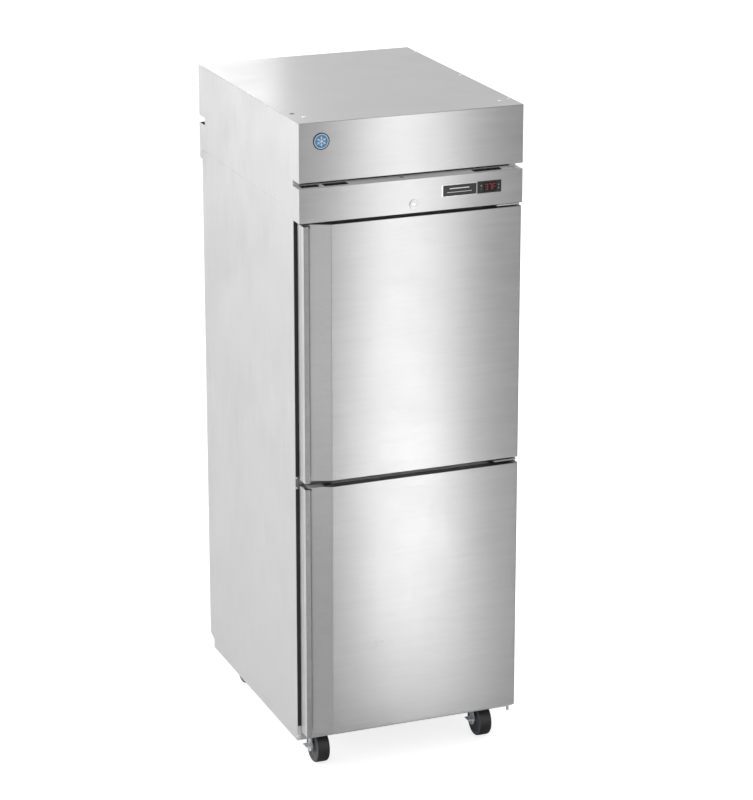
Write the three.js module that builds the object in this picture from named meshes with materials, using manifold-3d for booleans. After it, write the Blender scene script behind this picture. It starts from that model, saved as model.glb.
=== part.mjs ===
// Reach-in refrigerator: one section, two half doors, top-mounted refrigeration, on casters.
// Millimetres, +Z up, front towards -Y. Origin: centre of the footprint, on the floor.

import * as THREE from 'three';
import { mergeVertices } from 'three/addons/utils/BufferGeometryUtils.js';
import Module from 'manifold-3d';

const wasm = await Module();
wasm.setup();

// ---------------------------------------------------------------- driving dimensions

const WIDTH = 698.5;
const DEPTH = 901;
const HEIGHT = 2019.3;
const SHEET = 1.2; // sheet metal thickness
const GAP = 0.3; // clearance between neighbouring pieces
const PROUD = 2.5; // how far the lock and the controller stand out of the front faces
const DOOR_DEPTH = 53.2; // the doors, control panel and hood stand this far off the cabinet
const CABINET_DEPTH = 785.7; // side panel, front to back
const REAR_PAN_DEPTH = 38.1;
const SKIRT_BOTTOM = 93.6;
const CABINET_TOP = 1750.2;
const LOWER_DOOR_BOTTOM = 123.2;
const LOWER_DOOR_TOP = 915.2;
const UPPER_DOOR_BOTTOM = 934.2;
const UPPER_DOOR_TOP = 1714.4;
const CONTROL_BOTTOM = 1724.4;
const CONTROL_TOP = 1826.5;
const HOOD_BOTTOM = 1843.6;
const REAR_COVER_BOTTOM = 1722;

const HALF = WIDTH / 2;
const FACE = -DEPTH / 2 + PROUD; // plane of the door, control panel and hood fronts
const CABINET_FRONT = FACE + DOOR_DEPTH;
const CABINET_BACK = CABINET_FRONT + CABINET_DEPTH;
const REAR_FACE = CABINET_BACK + REAR_PAN_DEPTH;
const COVER_FACE = DEPTH / 2;
const INSIDE = HALF - SHEET; // inner face of a side skin

// storage compartment
const ROOM_HALF = 288;
const ROOM_FLOOR = 195;
const ROOM_CEILING = 1660;
const ROOM_BACK = 330;
const FRAME_DEPTH = 10;
const CORNER_FLANGE = 12;
const MULLION_BOTTOM = 889;
const MULLION_TOP = 960;
const PAN_TOP = 131.2; // top of the base pan

// doors
const DOOR_LEFT = -337;
const DOOR_RIGHT = 347;
const DOOR_BODY = 42; // depth of the foamed door body
const GRIP_START = -252; // where the front skin folds back into the pull
const GRIP_SLOPE = 0.42;
const LIP_WIDTH = 16;
const LIP_THICKNESS = 2.5;
const HINGE_X = 335;
const HINGE_Y = FACE + 25;
const PIN_RADIUS = 5;

// casters
const CASTER_X = 268.5;
const FRONT_CASTER_Y = FACE + 126;
const REAR_CASTER_Y = FACE + 780;
const WHEEL_RADIUS = 50.8;
const WHEEL_HALF = 21;
const TRAIL = 38;
const AXLE_RADIUS = 6;

// ---------------------------------------------------------------- shape helpers

// A closed geometry as a manifold solid.
function solid(geometry) {
  const bare = geometry.clone();
  bare.deleteAttribute('normal');
  bare.deleteAttribute('uv');
  const merged = mergeVertices(bare, 1e-4);
  const index = merged.getIndex().array;
  const kept = [];
  for (let i = 0; i < index.length; i += 3) {
    const [a, b, c] = [index[i], index[i + 1], index[i + 2]];
    if (a !== b && b !== c && c !== a) kept.push(a, b, c);
  }
  return new wasm.Manifold(new wasm.Mesh({
    numProp: 3,
    vertProperties: new Float32Array(merged.getAttribute('position').array),
    triVerts: new Uint32Array(kept),
  }));
}

// A manifold solid as a geometry.
function geometryOf(manifold) {
  const mesh = manifold.getMesh();
  const geometry = new THREE.BufferGeometry();
  geometry.setAttribute('position', new THREE.BufferAttribute(mesh.vertProperties, 3));
  geometry.setIndex(new THREE.BufferAttribute(mesh.triVerts, 1));
  geometry.computeVertexNormals();
  return geometry;
}

function join(...pieces) {
  return geometryOf(pieces.map(solid).reduce((whole, piece) => whole.add(piece)));
}

function cut(base, ...tools) {
  return geometryOf(tools.map(solid).reduce((whole, tool) => whole.subtract(tool), solid(base)));
}

// A box between two corners.
function box([x0, y0, z0], [x1, y1, z1]) {
  const geometry = new THREE.BoxGeometry(x1 - x0, y1 - y0, z1 - z0);
  geometry.translate((x0 + x1) / 2, (y0 + y1) / 2, (z0 + z1) / 2);
  return geometry;
}

function outline(points) {
  return new THREE.Shape(points.map(([u, v]) => new THREE.Vector2(u, v)));
}

// An (x, y) outline raised from z0 to z1.
function prismZ(points, z0, z1) {
  const geometry = new THREE.ExtrudeGeometry(outline(points), { depth: z1 - z0, bevelEnabled: false });
  geometry.translate(0, 0, z0);
  return geometry;
}

// A (y, z) outline drawn from x0 to x1.
function prismX(points, x0, x1) {
  const geometry = new THREE.ExtrudeGeometry(outline(points), { depth: x1 - x0, bevelEnabled: false });
  const turn = new THREE.Matrix4().makeBasis(
    new THREE.Vector3(0, 1, 0),
    new THREE.Vector3(0, 0, 1),
    new THREE.Vector3(1, 0, 0),
  );
  geometry.applyMatrix4(turn);
  geometry.translate(x0, 0, 0);
  return geometry;
}

// Round bars along each axis, centred on the two cross coordinates.
function barZ(radius, x, y, z0, z1, sides = 16) {
  const geometry = new THREE.CylinderGeometry(radius, radius, z1 - z0, sides);
  geometry.rotateX(Math.PI / 2);
  geometry.translate(x, y, (z0 + z1) / 2);
  return geometry;
}

function barY(radius, x, z, y0, y1, sides = 16) {
  const geometry = new THREE.CylinderGeometry(radius, radius, y1 - y0, sides);
  geometry.translate(x, (y0 + y1) / 2, z);
  return geometry;
}

function barX(radius, y, z, x0, x1, sides = 16) {
  const geometry = new THREE.CylinderGeometry(radius, radius, x1 - x0, sides);
  geometry.rotateZ(Math.PI / 2);
  geometry.translate((x0 + x1) / 2, y, z);
  return geometry;
}

// ---------------------------------------------------------------- materials and placing

function material(color, roughness, metalness) {
  return new THREE.MeshStandardMaterial({ color, roughness, metalness });
}

const brushedSteel = material(0xc4c6c8, 0.32, 1);
const paintedSteel = material(0xd2d4d4, 0.5, 0.6);
const zincSteel = material(0xa9aeb2, 0.42, 1);
const linerSteel = material(0xcfd1d2, 0.36, 1);
const blackPlastic = material(0x151617, 0.5, 0);
const blackPaint = material(0x1a1b1c, 0.45, 0.3);
const rubberSeal = material(0x17181a, 0.7, 0);
const foam = material(0xe3d9a8, 0.95, 0);
const wheelRubber = material(0x1d1d1e, 0.62, 0);
const coatedWire = material(0xdcdedd, 0.45, 0.1);
const aluminiumFins = material(0xb9bdc0, 0.4, 1);
const chrome = material(0xdadcde, 0.12, 1);

const refrigerator = new THREE.Group();

function place(name, geometry, finish, parent = refrigerator) {
  const mesh = new THREE.Mesh(geometry, finish);
  mesh.name = name;
  parent.add(mesh);
  return mesh;
}

// ---------------------------------------------------------------- insulated cabinet

// Side skin with its narrow front corner flange; side is -1 for left, 1 for right.
function sidePanel(side) {
  const corner = CABINET_FRONT + SHEET;
  const points = [
    [HALF, CABINET_FRONT],
    [HALF, CABINET_BACK],
    [INSIDE, CABINET_BACK],
    [INSIDE, corner],
    [HALF - CORNER_FLANGE, corner],
    [HALF - CORNER_FLANGE, CABINET_FRONT],
  ];
  return prismZ(points.map(([x, y]) => [side * x, y]), SKIRT_BOTTOM, CABINET_TOP);
}

// Rear skin: a shallow pan with a sloping lower edge, open towards the foam.
function rearPanel() {
  const front = CABINET_BACK + GAP;
  const top = CABINET_TOP - GAP;
  const [edge, low] = [121, 135.3];
  const outer = prismX([[front, edge], [REAR_FACE, low], [REAR_FACE, top], [front, top]], -HALF, HALF);
  const back = REAR_FACE - SHEET;
  const hollow = prismX(
    [[front - 5, edge + SHEET], [front, edge + SHEET], [back, low + SHEET], [back, top - SHEET],
      [front - 5, top - SHEET]],
    -INSIDE,
    INSIDE,
  );
  return cut(outer, hollow);
}

// Floor of the cabinet with the four caster plates and their raceways underneath.
function basePan() {
  const plateTop = PAN_TOP - SHEET;
  const pieces = [
    box([-INSIDE + GAP, CABINET_FRONT + SHEET + GAP, plateTop], [INSIDE - GAP, CABINET_BACK, PAN_TOP]),
  ];
  const holes = [];
  for (const x of [-CASTER_X, CASTER_X]) {
    for (const y of [FRONT_CASTER_Y, REAR_CASTER_Y]) {
      pieces.push(box([x - 36, y - 48, plateTop - 4], [x + 36, y + 48, plateTop + 0.5]));
      pieces.push(barZ(28, x, y, plateTop - 9, plateTop, 20));
      holes.push(barZ(7.2, x, y, plateTop - 12, PAN_TOP + 1));
    }
  }
  return cut(join(...pieces), ...holes);
}

// Foamed-in insulation between the skins and the compartment liner.
function insulation() {
  const front = CABINET_FRONT + FRAME_DEPTH + GAP;
  const side = INSIDE - GAP;
  const top = CABINET_TOP - 2 * SHEET - GAP;
  const body = box([-side, front, PAN_TOP + GAP], [side, CABINET_BACK, top]);
  const rear = box([-side, CABINET_BACK - 1, 138], [side, REAR_FACE - SHEET - GAP, top]);
  const wall = SHEET + GAP;
  const room = box(
    [-ROOM_HALF - wall, front - 10, ROOM_FLOOR - wall],
    [ROOM_HALF + wall, ROOM_BACK + wall, ROOM_CEILING + wall],
  );
  return cut(join(body, rear), room);
}

// Steel face frame round the door opening, with the apron below it.
function frontFrame() {
  const side = HALF - CORNER_FLANGE - GAP;
  const top = CABINET_TOP - 2 * SHEET - GAP;
  const ring = box([-side, CABINET_FRONT, PAN_TOP + GAP], [side, CABINET_FRONT + FRAME_DEPTH, top]);
  const apron = box([-side, CABINET_FRONT, SKIRT_BOTTOM], [side, CABINET_FRONT + SHEET, PAN_TOP + 1]);
  const opening = box(
    [-ROOM_HALF, CABINET_FRONT - 1, ROOM_FLOOR],
    [ROOM_HALF, CABINET_FRONT + FRAME_DEPTH + 1, ROOM_CEILING],
  );
  return cut(join(ring, apron), opening);
}

// Compartment liner: a tub lying on its back, open at the front.
function liner() {
  const front = CABINET_FRONT + FRAME_DEPTH + GAP;
  const tub = box(
    [-ROOM_HALF - SHEET, front, ROOM_FLOOR - SHEET],
    [ROOM_HALF + SHEET, ROOM_BACK + SHEET, ROOM_CEILING + SHEET],
  );
  const room = box(
    [-ROOM_HALF, front - 1, ROOM_FLOOR],
    [ROOM_HALF, ROOM_BACK, ROOM_CEILING],
  );
  return cut(tub, room);
}

place('side_panel_left', sidePanel(-1), paintedSteel);
place('side_panel_right', sidePanel(1), paintedSteel);
place('rear_panel', rearPanel(), zincSteel);
place('base_pan', basePan(), zincSteel);
place('insulation_foam', insulation(), foam);
place('front_frame', frontFrame(), brushedSteel);
place('compartment_liner', liner(), linerSteel);
place(
  'mullion',
  box(
    [-ROOM_HALF + GAP, CABINET_FRONT, MULLION_BOTTOM],
    [ROOM_HALF - GAP, CABINET_FRONT + 46, MULLION_TOP],
  ),
  brushedSteel,
);
place(
  'cabinet_top_panel',
  box(
    [-INSIDE + GAP, CABINET_FRONT + SHEET + GAP, CABINET_TOP - GAP - SHEET],
    [INSIDE - GAP, CABINET_BACK, CABINET_TOP - GAP],
  ),
  zincSteel,
);

// ---------------------------------------------------------------- shelves

const SHELF_LEVELS = { lower: 520, middle: 925, upper: 1215 };
const RACK_INNER = 272; // inner edge of the ledges
const SHELF_HALF = 274;
const SHELF_FRONT = -338;
const SHELF_BACK = 262;
const WIRE = 4;
const RAIL = 8;

// Two upright posts joined by a ledge under each shelf.
function shelfRack(side) {
  const span = (x0, x1) => [Math.min(side * x0, side * x1), Math.max(side * x0, side * x1)];
  const [post0, post1] = span(ROOM_HALF - GAP, ROOM_HALF - 5);
  const [ledge0, ledge1] = span(ROOM_HALF - 4, RACK_INNER);
  const posts = [-290, 190].map((y) => box([post0, y, 215], [post1, y + 20, 1450]));
  const ledges = Object.values(SHELF_LEVELS).map((z) => (
    box([ledge0, SHELF_FRONT + 20, z - 3], [ledge1, SHELF_BACK - 20, z])
  ));
  return join(...posts, ...ledges);
}

// Wire shelf: a frame of heavier rails with thin wires from front to back.
function wireShelf(level) {
  const z0 = level + GAP;
  const z1 = z0 + RAIL;
  const rails = [
    box([-SHELF_HALF, SHELF_FRONT, z0], [SHELF_HALF, SHELF_FRONT + RAIL, z1]),
    box([-SHELF_HALF, SHELF_BACK - RAIL, z0], [SHELF_HALF, SHELF_BACK, z1]),
    box([-SHELF_HALF, SHELF_FRONT, z0], [-SHELF_HALF + RAIL, SHELF_BACK, z1]),
    box([SHELF_HALF - RAIL, SHELF_FRONT, z0], [SHELF_HALF, SHELF_BACK, z1]),
  ];
  const count = 13;
  const pitch = (2 * SHELF_HALF) / (count + 1);
  const wires = [];
  for (let i = 1; i <= count; i += 1) {
    const x = -SHELF_HALF + i * pitch;
    wires.push(box([x - WIRE / 2, SHELF_FRONT + 1, z1 - WIRE], [x + WIRE / 2, SHELF_BACK - 1, z1 - 0.5]));
  }
  return join(...rails, ...wires);
}

place('shelf_rack_left', shelfRack(-1), zincSteel);
place('shelf_rack_right', shelfRack(1), zincSteel);
for (const [name, level] of Object.entries(SHELF_LEVELS)) {
  place(`shelf_${name}`, wireShelf(level), coatedWire);
}

// ---------------------------------------------------------------- doors and hinges

// Plan of the door body, moved inwards by inset: a square right end, a folded-back left end.
function doorPlan(inset) {
  const left = DOOR_LEFT + LIP_THICKNESS + GAP + inset;
  const front = FACE + inset;
  const slopeAt = (x) => FACE + (GRIP_START - x) * GRIP_SLOPE + inset * 1.08;
  const corner = 4;
  return [
    [DOOR_RIGHT - inset, FACE + DOOR_BODY],
    [left, FACE + DOOR_BODY],
    [left, slopeAt(left)],
    [GRIP_START + inset * 0.2, front],
    [DOOR_RIGHT - inset - corner, front],
    [DOOR_RIGHT - inset - corner * 0.3, front + corner * 0.3],
    [DOOR_RIGHT - inset, front + corner],
  ];
}

// Outer skin: a tray folded round the front, right side, top and bottom.
function doorSkin(z0, z1) {
  const outer = prismZ(doorPlan(0), z0, z1);
  const inner = doorPlan(SHEET);
  const deep = inner.map(([x, y], i) => [x, i < 2 ? y + 5 : y]);
  const hollow = prismZ(deep, z0 + SHEET, z1 - SHEET);
  const pinHole = barZ(9, HINGE_X, HINGE_Y, z0 - 1, z1 + 1);
  return cut(outer, hollow, pinHole);
}

function doorCore(z0, z1) {
  const body = prismZ(doorPlan(SHEET + GAP), z0 + SHEET + GAP, z1 - SHEET - GAP);
  const pocketLow = barZ(11, HINGE_X, HINGE_Y, z0, z0 + 28);
  const pocketHigh = barZ(9, HINGE_X, HINGE_Y, z1 - 26, z1);
  return cut(body, pocketLow, pocketHigh);
}

// Pull: an angle along the left edge whose lip hooks over the folded-back skin.
function doorGrip(z0, z1) {
  const points = [
    [DOOR_LEFT, FACE],
    [DOOR_LEFT + LIP_WIDTH, FACE],
    [DOOR_LEFT + LIP_WIDTH, FACE + LIP_THICKNESS],
    [DOOR_LEFT + LIP_THICKNESS, FACE + LIP_THICKNESS],
    [DOOR_LEFT + LIP_THICKNESS, FACE + DOOR_BODY],
    [DOOR_LEFT, FACE + DOOR_BODY],
  ];
  return prismZ(points, z0, z1);
}

const LINER_START = FACE + DOOR_BODY + GAP;
const LINER_SHEET = 2;

// Inner door panel with a shallow raised field that stands into the opening.
function doorLiner(z0, z1, field0, field1) {
  const sheet = box([DOOR_LEFT, LINER_START, z0], [DOOR_RIGHT, LINER_START + LINER_SHEET, z1]);
  const field = box([-262, LINER_START + 1, field0], [262, FACE + 58, field1]);
  const hollow = box([-260, LINER_START - 1, field0 + 2], [260, FACE + 56, field1 - 2]);
  return cut(join(sheet, field), hollow);
}

// Magnetic gasket: a closed ring between the inner panel and the face frame.
function doorGasket(z0, z1) {
  const front = LINER_START + LINER_SHEET + GAP;
  const back = CABINET_FRONT - GAP;
  const ring = box([-331, front, z0 + 6], [333, back, z1 - 6]);
  const hole = box([-313, front - 1, z0 + 24], [315, back + 1, z1 - 24]);
  return cut(ring, hole);
}

// Spring cartridge: a sleeve in the lower hinge corner that turns on the bracket's pin.
function hingeCartridge(z0) {
  const low = z0 + SHEET + GAP;
  const sleeve = barZ(10.4, HINGE_X, HINGE_Y, low, low + 24);
  const bore = barZ(PIN_RADIUS + 0.4, HINGE_X, HINGE_Y, low - 1, low + 21);
  return cut(sleeve, bore);
}

const FIELD_MARGIN = 26; // between the raised field and the edge of the opening

for (const [name, z0, z1, room0, room1] of [
  ['upper', UPPER_DOOR_BOTTOM, UPPER_DOOR_TOP, MULLION_TOP, ROOM_CEILING],
  ['lower', LOWER_DOOR_BOTTOM, LOWER_DOOR_TOP, ROOM_FLOOR, MULLION_BOTTOM],
]) {
  place(`${name}_door_skin`, doorSkin(z0, z1), brushedSteel);
  place(`${name}_door_foam_core`, doorCore(z0, z1), foam);
  place(`${name}_door_grip`, doorGrip(z0, z1), brushedSteel);
  place(`${name}_door_liner`, doorLiner(z0, z1, room0 + FIELD_MARGIN, room1 - FIELD_MARGIN), linerSteel);
  place(`${name}_door_gasket`, doorGasket(z0, z1), rubberSeal);
  place(`${name}_hinge_cartridge`, hingeCartridge(z0), blackPlastic);
}

// Hinge bracket: a leaf under or over the door, an upright on the face frame, and pins.
function hingeBracket(leaf0, leaf1, upright0, upright1, pins) {
  const back = CABINET_FRONT - GAP;
  const leaf = box([270, FACE + 8, leaf0], [345, back, leaf1]);
  const upright = box([270, back - 3, upright0], [345, back, upright1]);
  const bars = pins.map(([radius, z0, z1]) => barZ(radius, HINGE_X, HINGE_Y, z0, z1));
  return join(leaf, upright, ...bars);
}

const PIN_LENGTH = 20; // how far a pin reaches into a door
place(
  'hinge_bracket_top',
  hingeBracket(1717.4, 1721.4, 1717.4, 1745, [[PIN_RADIUS, UPPER_DOOR_TOP - PIN_LENGTH, 1718]]),
  zincSteel,
);
place(
  'hinge_bracket_middle',
  hingeBracket(922.5, 927, 914.5, 935, [
    [PIN_RADIUS, LOWER_DOOR_TOP - PIN_LENGTH, UPPER_DOOR_BOTTOM + PIN_LENGTH],
  ]),
  zincSteel,
);
place(
  'hinge_bracket_bottom',
  hingeBracket(117, 121.5, 98, 121.5, [
    [PIN_RADIUS, 119, LOWER_DOOR_BOTTOM + PIN_LENGTH],
    [4, 95, 118],
  ]),
  zincSteel,
);

// ---------------------------------------------------------------- hood and control panel

const HOOD_REAR = FACE + 844; // where the hood sides end and the rear cover starts
const TOP_SEAM = FACE + 810;
const TOP_SHEET_BOTTOM = HEIGHT - SHEET;

function hoodTop() {
  const sheet = box([-HALF, FACE, TOP_SHEET_BOTTOM], [HALF, TOP_SEAM, HEIGHT]);
  const hem = INSIDE - GAP;
  const hems = [-1, 1].map((side) => box(
    [Math.min(side * hem, side * (hem - SHEET)), CABINET_FRONT + 2 * SHEET, TOP_SHEET_BOTTOM - 14],
    [Math.max(side * hem, side * (hem - SHEET)), TOP_SEAM - 4, TOP_SHEET_BOTTOM + 0.5],
  ));
  return join(sheet, ...hems);
}

// Hood front: face, side returns and a flange under the slit's upper edge.
function hoodFront() {
  const top = TOP_SHEET_BOTTOM - GAP;
  const body = box([-HALF, FACE, HOOD_BOTTOM], [HALF, CABINET_FRONT - GAP, top]);
  const hollow = box([-INSIDE, FACE + SHEET, HOOD_BOTTOM + SHEET], [INSIDE, CABINET_FRONT + 1, top + 1]);
  return cut(body, hollow);
}

function hoodSide(side) {
  const corner = CABINET_FRONT + SHEET;
  const points = [
    [HALF, CABINET_FRONT],
    [HALF, HOOD_REAR],
    [INSIDE, HOOD_REAR],
    [INSIDE, corner],
    [HALF - 20, corner],
    [HALF - 20, CABINET_FRONT],
  ];
  return prismZ(points.map(([x, y]) => [side * x, y]), CABINET_TOP + GAP, TOP_SHEET_BOTTOM - GAP);
}

const GLAND = { x: 250, y: (REAR_FACE + COVER_FACE) / 2, radius: 6.5, flange: 9 };
const REAR_VENT = { bottom: 1834.5, top: 1857.5, tie: 20 };

// Rear cover: a pan behind the hood with an open vent slot each side of a middle tie.
function rearCover() {
  const front = HOOD_REAR + GAP;
  const shell = box([-HALF, front, REAR_COVER_BOTTOM], [HALF, COVER_FACE, HEIGHT]);
  const hollow = box(
    [-INSIDE, front - 5, REAR_COVER_BOTTOM + SHEET],
    [INSIDE, COVER_FACE - SHEET, TOP_SHEET_BOTTOM],
  );
  const cabinetRoom = box(
    [-HALF - 1, front - 5, REAR_COVER_BOTTOM - 1],
    [HALF + 1, REAR_FACE + GAP, CABINET_TOP + GAP],
  );
  const vents = [-1, 1].map((side) => box(
    [Math.min(side * REAR_VENT.tie, side * (HALF + 1)), front - 5, REAR_VENT.bottom],
    [Math.max(side * REAR_VENT.tie, side * (HALF + 1)), COVER_FACE + 1, REAR_VENT.top],
  ));
  const cordHole = barZ(GLAND.radius + 0.5, GLAND.x, GLAND.y, REAR_COVER_BOTTOM - 1, REAR_COVER_BOTTOM + 3);
  const cover = cut(shell, hollow, cabinetRoom, ...vents, cordHole);
  const lid = box([-HALF, TOP_SEAM + GAP, TOP_SHEET_BOTTOM], [HALF, COVER_FACE - 1, HEIGHT]);
  return join(cover, lid);
}

// Strain-relief gland in the rear cover's lower flange, where the supply cord leaves.
function cordGland() {
  const z = REAR_COVER_BOTTOM;
  const barrel = barZ(GLAND.radius, GLAND.x, GLAND.y, z - 8, z + 8);
  const flange = barZ(GLAND.flange, GLAND.x, GLAND.y, z - 3, z - GAP);
  const nut = barZ(GLAND.flange, GLAND.x, GLAND.y, z + SHEET + GAP, z + SHEET + 5, 6);
  const bore = barZ(4.2, GLAND.x, GLAND.y, z - 10, z + 10);
  return cut(join(barrel, flange, nut), bore);
}

const LOCK = { x: 4, z: 1751.2 };
const DISPLAY = { x0: 204.5, x1: 280, z0: 1764, z1: 1800, rim: 3 };
const INTAKES = [[-335, -281], [-265.7, -191.5], [200.3, 290.7]];

// Control panel: face, side returns and two flanges; the upper one has the air intakes.
function controlPanel() {
  const body = box([-HALF, FACE, CONTROL_BOTTOM], [HALF, CABINET_FRONT - GAP, CONTROL_TOP]);
  const hollow = box(
    [-INSIDE, FACE + SHEET, CONTROL_BOTTOM + SHEET],
    [INSIDE, CABINET_FRONT + 1, CONTROL_TOP - SHEET],
  );
  const hingeRoom = box(
    [-INSIDE, FACE + 46, CONTROL_BOTTOM - 1],
    [INSIDE, CABINET_FRONT + 1, CONTROL_BOTTOM + SHEET + 1],
  );
  const intakes = INTAKES.map(([x0, x1]) => (
    box([x0, FACE + 14, CONTROL_TOP - 3], [x1, FACE + 44, CONTROL_TOP + 1])
  ));
  const lockHole = barY(10.5, LOCK.x, LOCK.z, FACE - 1, FACE + 3);
  const margin = DISPLAY.rim - 0.4;
  const displayHole = box(
    [DISPLAY.x0 + margin, FACE - 1, DISPLAY.z0 + margin],
    [DISPLAY.x1 - margin, FACE + 3, DISPLAY.z1 - margin],
  );
  return cut(body, hollow, hingeRoom, ...intakes, lockHole, displayHole);
}

place('hood_top_panel', hoodTop(), brushedSteel);
place('hood_front_panel', hoodFront(), brushedSteel);
place('hood_side_left', hoodSide(-1), paintedSteel);
place('hood_side_right', hoodSide(1), paintedSteel);
place('rear_hood_cover', rearCover(), zincSteel);
place('power_cord_gland', cordGland(), blackPlastic);
place('control_panel', controlPanel(), brushedSteel);

// ---------------------------------------------------------------- controller and lock

const KEYS = {
  set: [216, 1787],
  defrost: [216, 1777],
  up: [271, 1787],
  down: [271, 1777],
};
const KEY_HALF = [4, 3];
const KEY_TRAVEL = 0.8;

// Digital controller: a bezel on the panel's face and a body through its cut-out.
function controllerHousing() {
  const { x0, x1, z0, z1, rim } = DISPLAY;
  const bezel = box([x0, FACE - PROUD + 0.3, z0], [x1, FACE - GAP, z1]);
  const body = box([x0 + rim, FACE - 1, z0 + rim], [x1 - rim, FACE + 38, z1 - rim]);
  const pockets = Object.values(KEYS).map(([x, z]) => box(
    [x - KEY_HALF[0] - GAP, FACE - PROUD - 1, z - KEY_HALF[1] - GAP],
    [x + KEY_HALF[0] + GAP, FACE + 3.2, z + KEY_HALF[1] + GAP],
  ));
  return cut(join(bezel, body), ...pockets);
}

place('controller_housing', controllerHousing(), blackPlastic);
for (const [name, [x, z]] of Object.entries(KEYS)) {
  const key = box(
    [x - KEY_HALF[0], FACE - PROUD, z - KEY_HALF[1]],
    [x + KEY_HALF[0], FACE + 3.2 - KEY_TRAVEL - GAP, z + KEY_HALF[1]],
  );
  place(`key_${name}`, key, blackPlastic);
}

function lockBody() {
  const collar = barY(13, LOCK.x, LOCK.z, FACE - PROUD, FACE - GAP, 24);
  const barrel = barY(10, LOCK.x, LOCK.z, FACE - 1, FACE + 22);
  const bore = barY(6.5, LOCK.x, LOCK.z, FACE - PROUD - 1, FACE + 23);
  return cut(join(collar, barrel), bore);
}

// Plug with a key slot in front and the locking cam on its rear end.
function lockPlug() {
  const plug = barY(6, LOCK.x, LOCK.z, FACE - PROUD + 0.5, FACE + 25);
  const cam = box([LOCK.x - 6, FACE + 24, LOCK.z - 5], [LOCK.x + 22, FACE + 26.5, LOCK.z + 5]);
  const keySlot = box([LOCK.x - 0.7, FACE - PROUD - 1, LOCK.z - 4], [LOCK.x + 0.7, FACE + 5, LOCK.z + 4]);
  return cut(join(plug, cam), keySlot);
}

place('lock_body', lockBody(), chrome);
place('lock_plug_and_cam', lockPlug(), chrome);

// ---------------------------------------------------------------- refrigeration system

const EVAPORATOR = { half: 250, front: -250, back: 320, bottom: 1500 };
const COOLER_FAN = { x: 0, y: -110, z: 1503, tip: 88 };

// Evaporator housing: a box hung from the ceiling, with a fan opening in its floor.
function evaporatorHousing() {
  const { half, front, back, bottom } = EVAPORATOR;
  const top = ROOM_CEILING - GAP;
  const shell = box([-half, front, bottom], [half, back, top]);
  const hollow = box([-half + SHEET, front + SHEET, bottom + SHEET], [half - SHEET, back - SHEET, top + 1]);
  const fanHole = barZ(COOLER_FAN.tip + 5, COOLER_FAN.x, COOLER_FAN.y, bottom - 1, bottom + 3, 24);
  const airReturn = box([-200, back - 3, 1540], [200, back + 1, 1630]);
  return cut(shell, hollow, fanHole, airReturn);
}

// Axial fan about the Z axis at the origin: a hub with pitched flat blades.
function axialFan(tip, hubRadius, hubHeight, blades) {
  const pieces = [barZ(hubRadius, 0, 0, 0, hubHeight)];
  for (let i = 0; i < blades; i += 1) {
    const blade = new THREE.BoxGeometry(tip - hubRadius + 4, tip * 0.5, 1.6);
    blade.rotateX(THREE.MathUtils.degToRad(24));
    blade.translate((tip + hubRadius - 8) / 2, 0, hubHeight / 2);
    blade.rotateZ((i * 2 * Math.PI) / blades);
    pieces.push(blade);
  }
  return join(...pieces);
}

// Finned block between two end plates.
function finnedCoil(low, high) {
  const plate = 3;
  const [x0, y0, z0] = low;
  const [x1, y1, z1] = high;
  return join(
    box([x0, y0 + 4, z0 + 4], [x1, y1 - 4, z1 - 4]),
    box([x0 - plate, y0, z0], [x0 + 1, y1, z1]),
    box([x1 - 1, y0, z0], [x1 + plate, y1, z1]),
  );
}

place('evaporator_housing', evaporatorHousing(), linerSteel);
place('evaporator_coil', finnedCoil([-200, 40, 1512], [200, 280, 1645]), aluminiumFins);
const coolerFan = place('evaporator_fan', axialFan(COOLER_FAN.tip, 20, 24, 5), blackPlastic);
coolerFan.position.set(COOLER_FAN.x, COOLER_FAN.y, COOLER_FAN.z);

const DECK = CABINET_TOP; // the machine compartment stands on the cabinet's top panel
const CONDENSER_FAN = { x: -90, y: FACE + 190, z: 1875, tip: 92 };

// Hermetic compressor: a domed can on a foot plate.
function compressor() {
  const [x, y] = [170, 60];
  const profile = [
    [0, 12], [78, 12], [82, 30], [82, 120], [76, 150], [60, 172], [34, 184], [0, 188],
  ].map(([radius, height]) => new THREE.Vector2(radius, height));
  const can = new THREE.LatheGeometry(profile, 24);
  can.rotateX(Math.PI / 2);
  can.translate(x, y, DECK);
  const foot = box([x - 95, y - 65, DECK], [x + 95, y + 65, DECK + 14]);
  return join(can, foot);
}

// Fan motor on a pedestal bracket, with its shaft end facing the condenser.
function condenserFanMotor() {
  const { x, y, z } = CONDENSER_FAN;
  const start = y + 30;
  return join(
    barY(34, x, z, start, start + 60, 20),
    box([x - 25, start + 8, DECK], [x + 25, start + 12, z]),
    box([x - 45, start + 8, DECK], [x + 45, start + 58, DECK + 3]),
  );
}

place('compressor', compressor(), blackPaint);
place('condenser_coil', finnedCoil([-280, FACE + 90, DECK], [100, FACE + 150, DECK + 235]), blackPaint);
place('condenser_fan_motor', condenserFanMotor(), zincSteel);
const condenserFan = place('condenser_fan', axialFan(CONDENSER_FAN.tip, 20, 26, 4), aluminiumFins);
condenserFan.rotation.x = -Math.PI / 2;
condenserFan.position.set(CONDENSER_FAN.x, CONDENSER_FAN.y, CONDENSER_FAN.z);

// ---------------------------------------------------------------- casters

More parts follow.
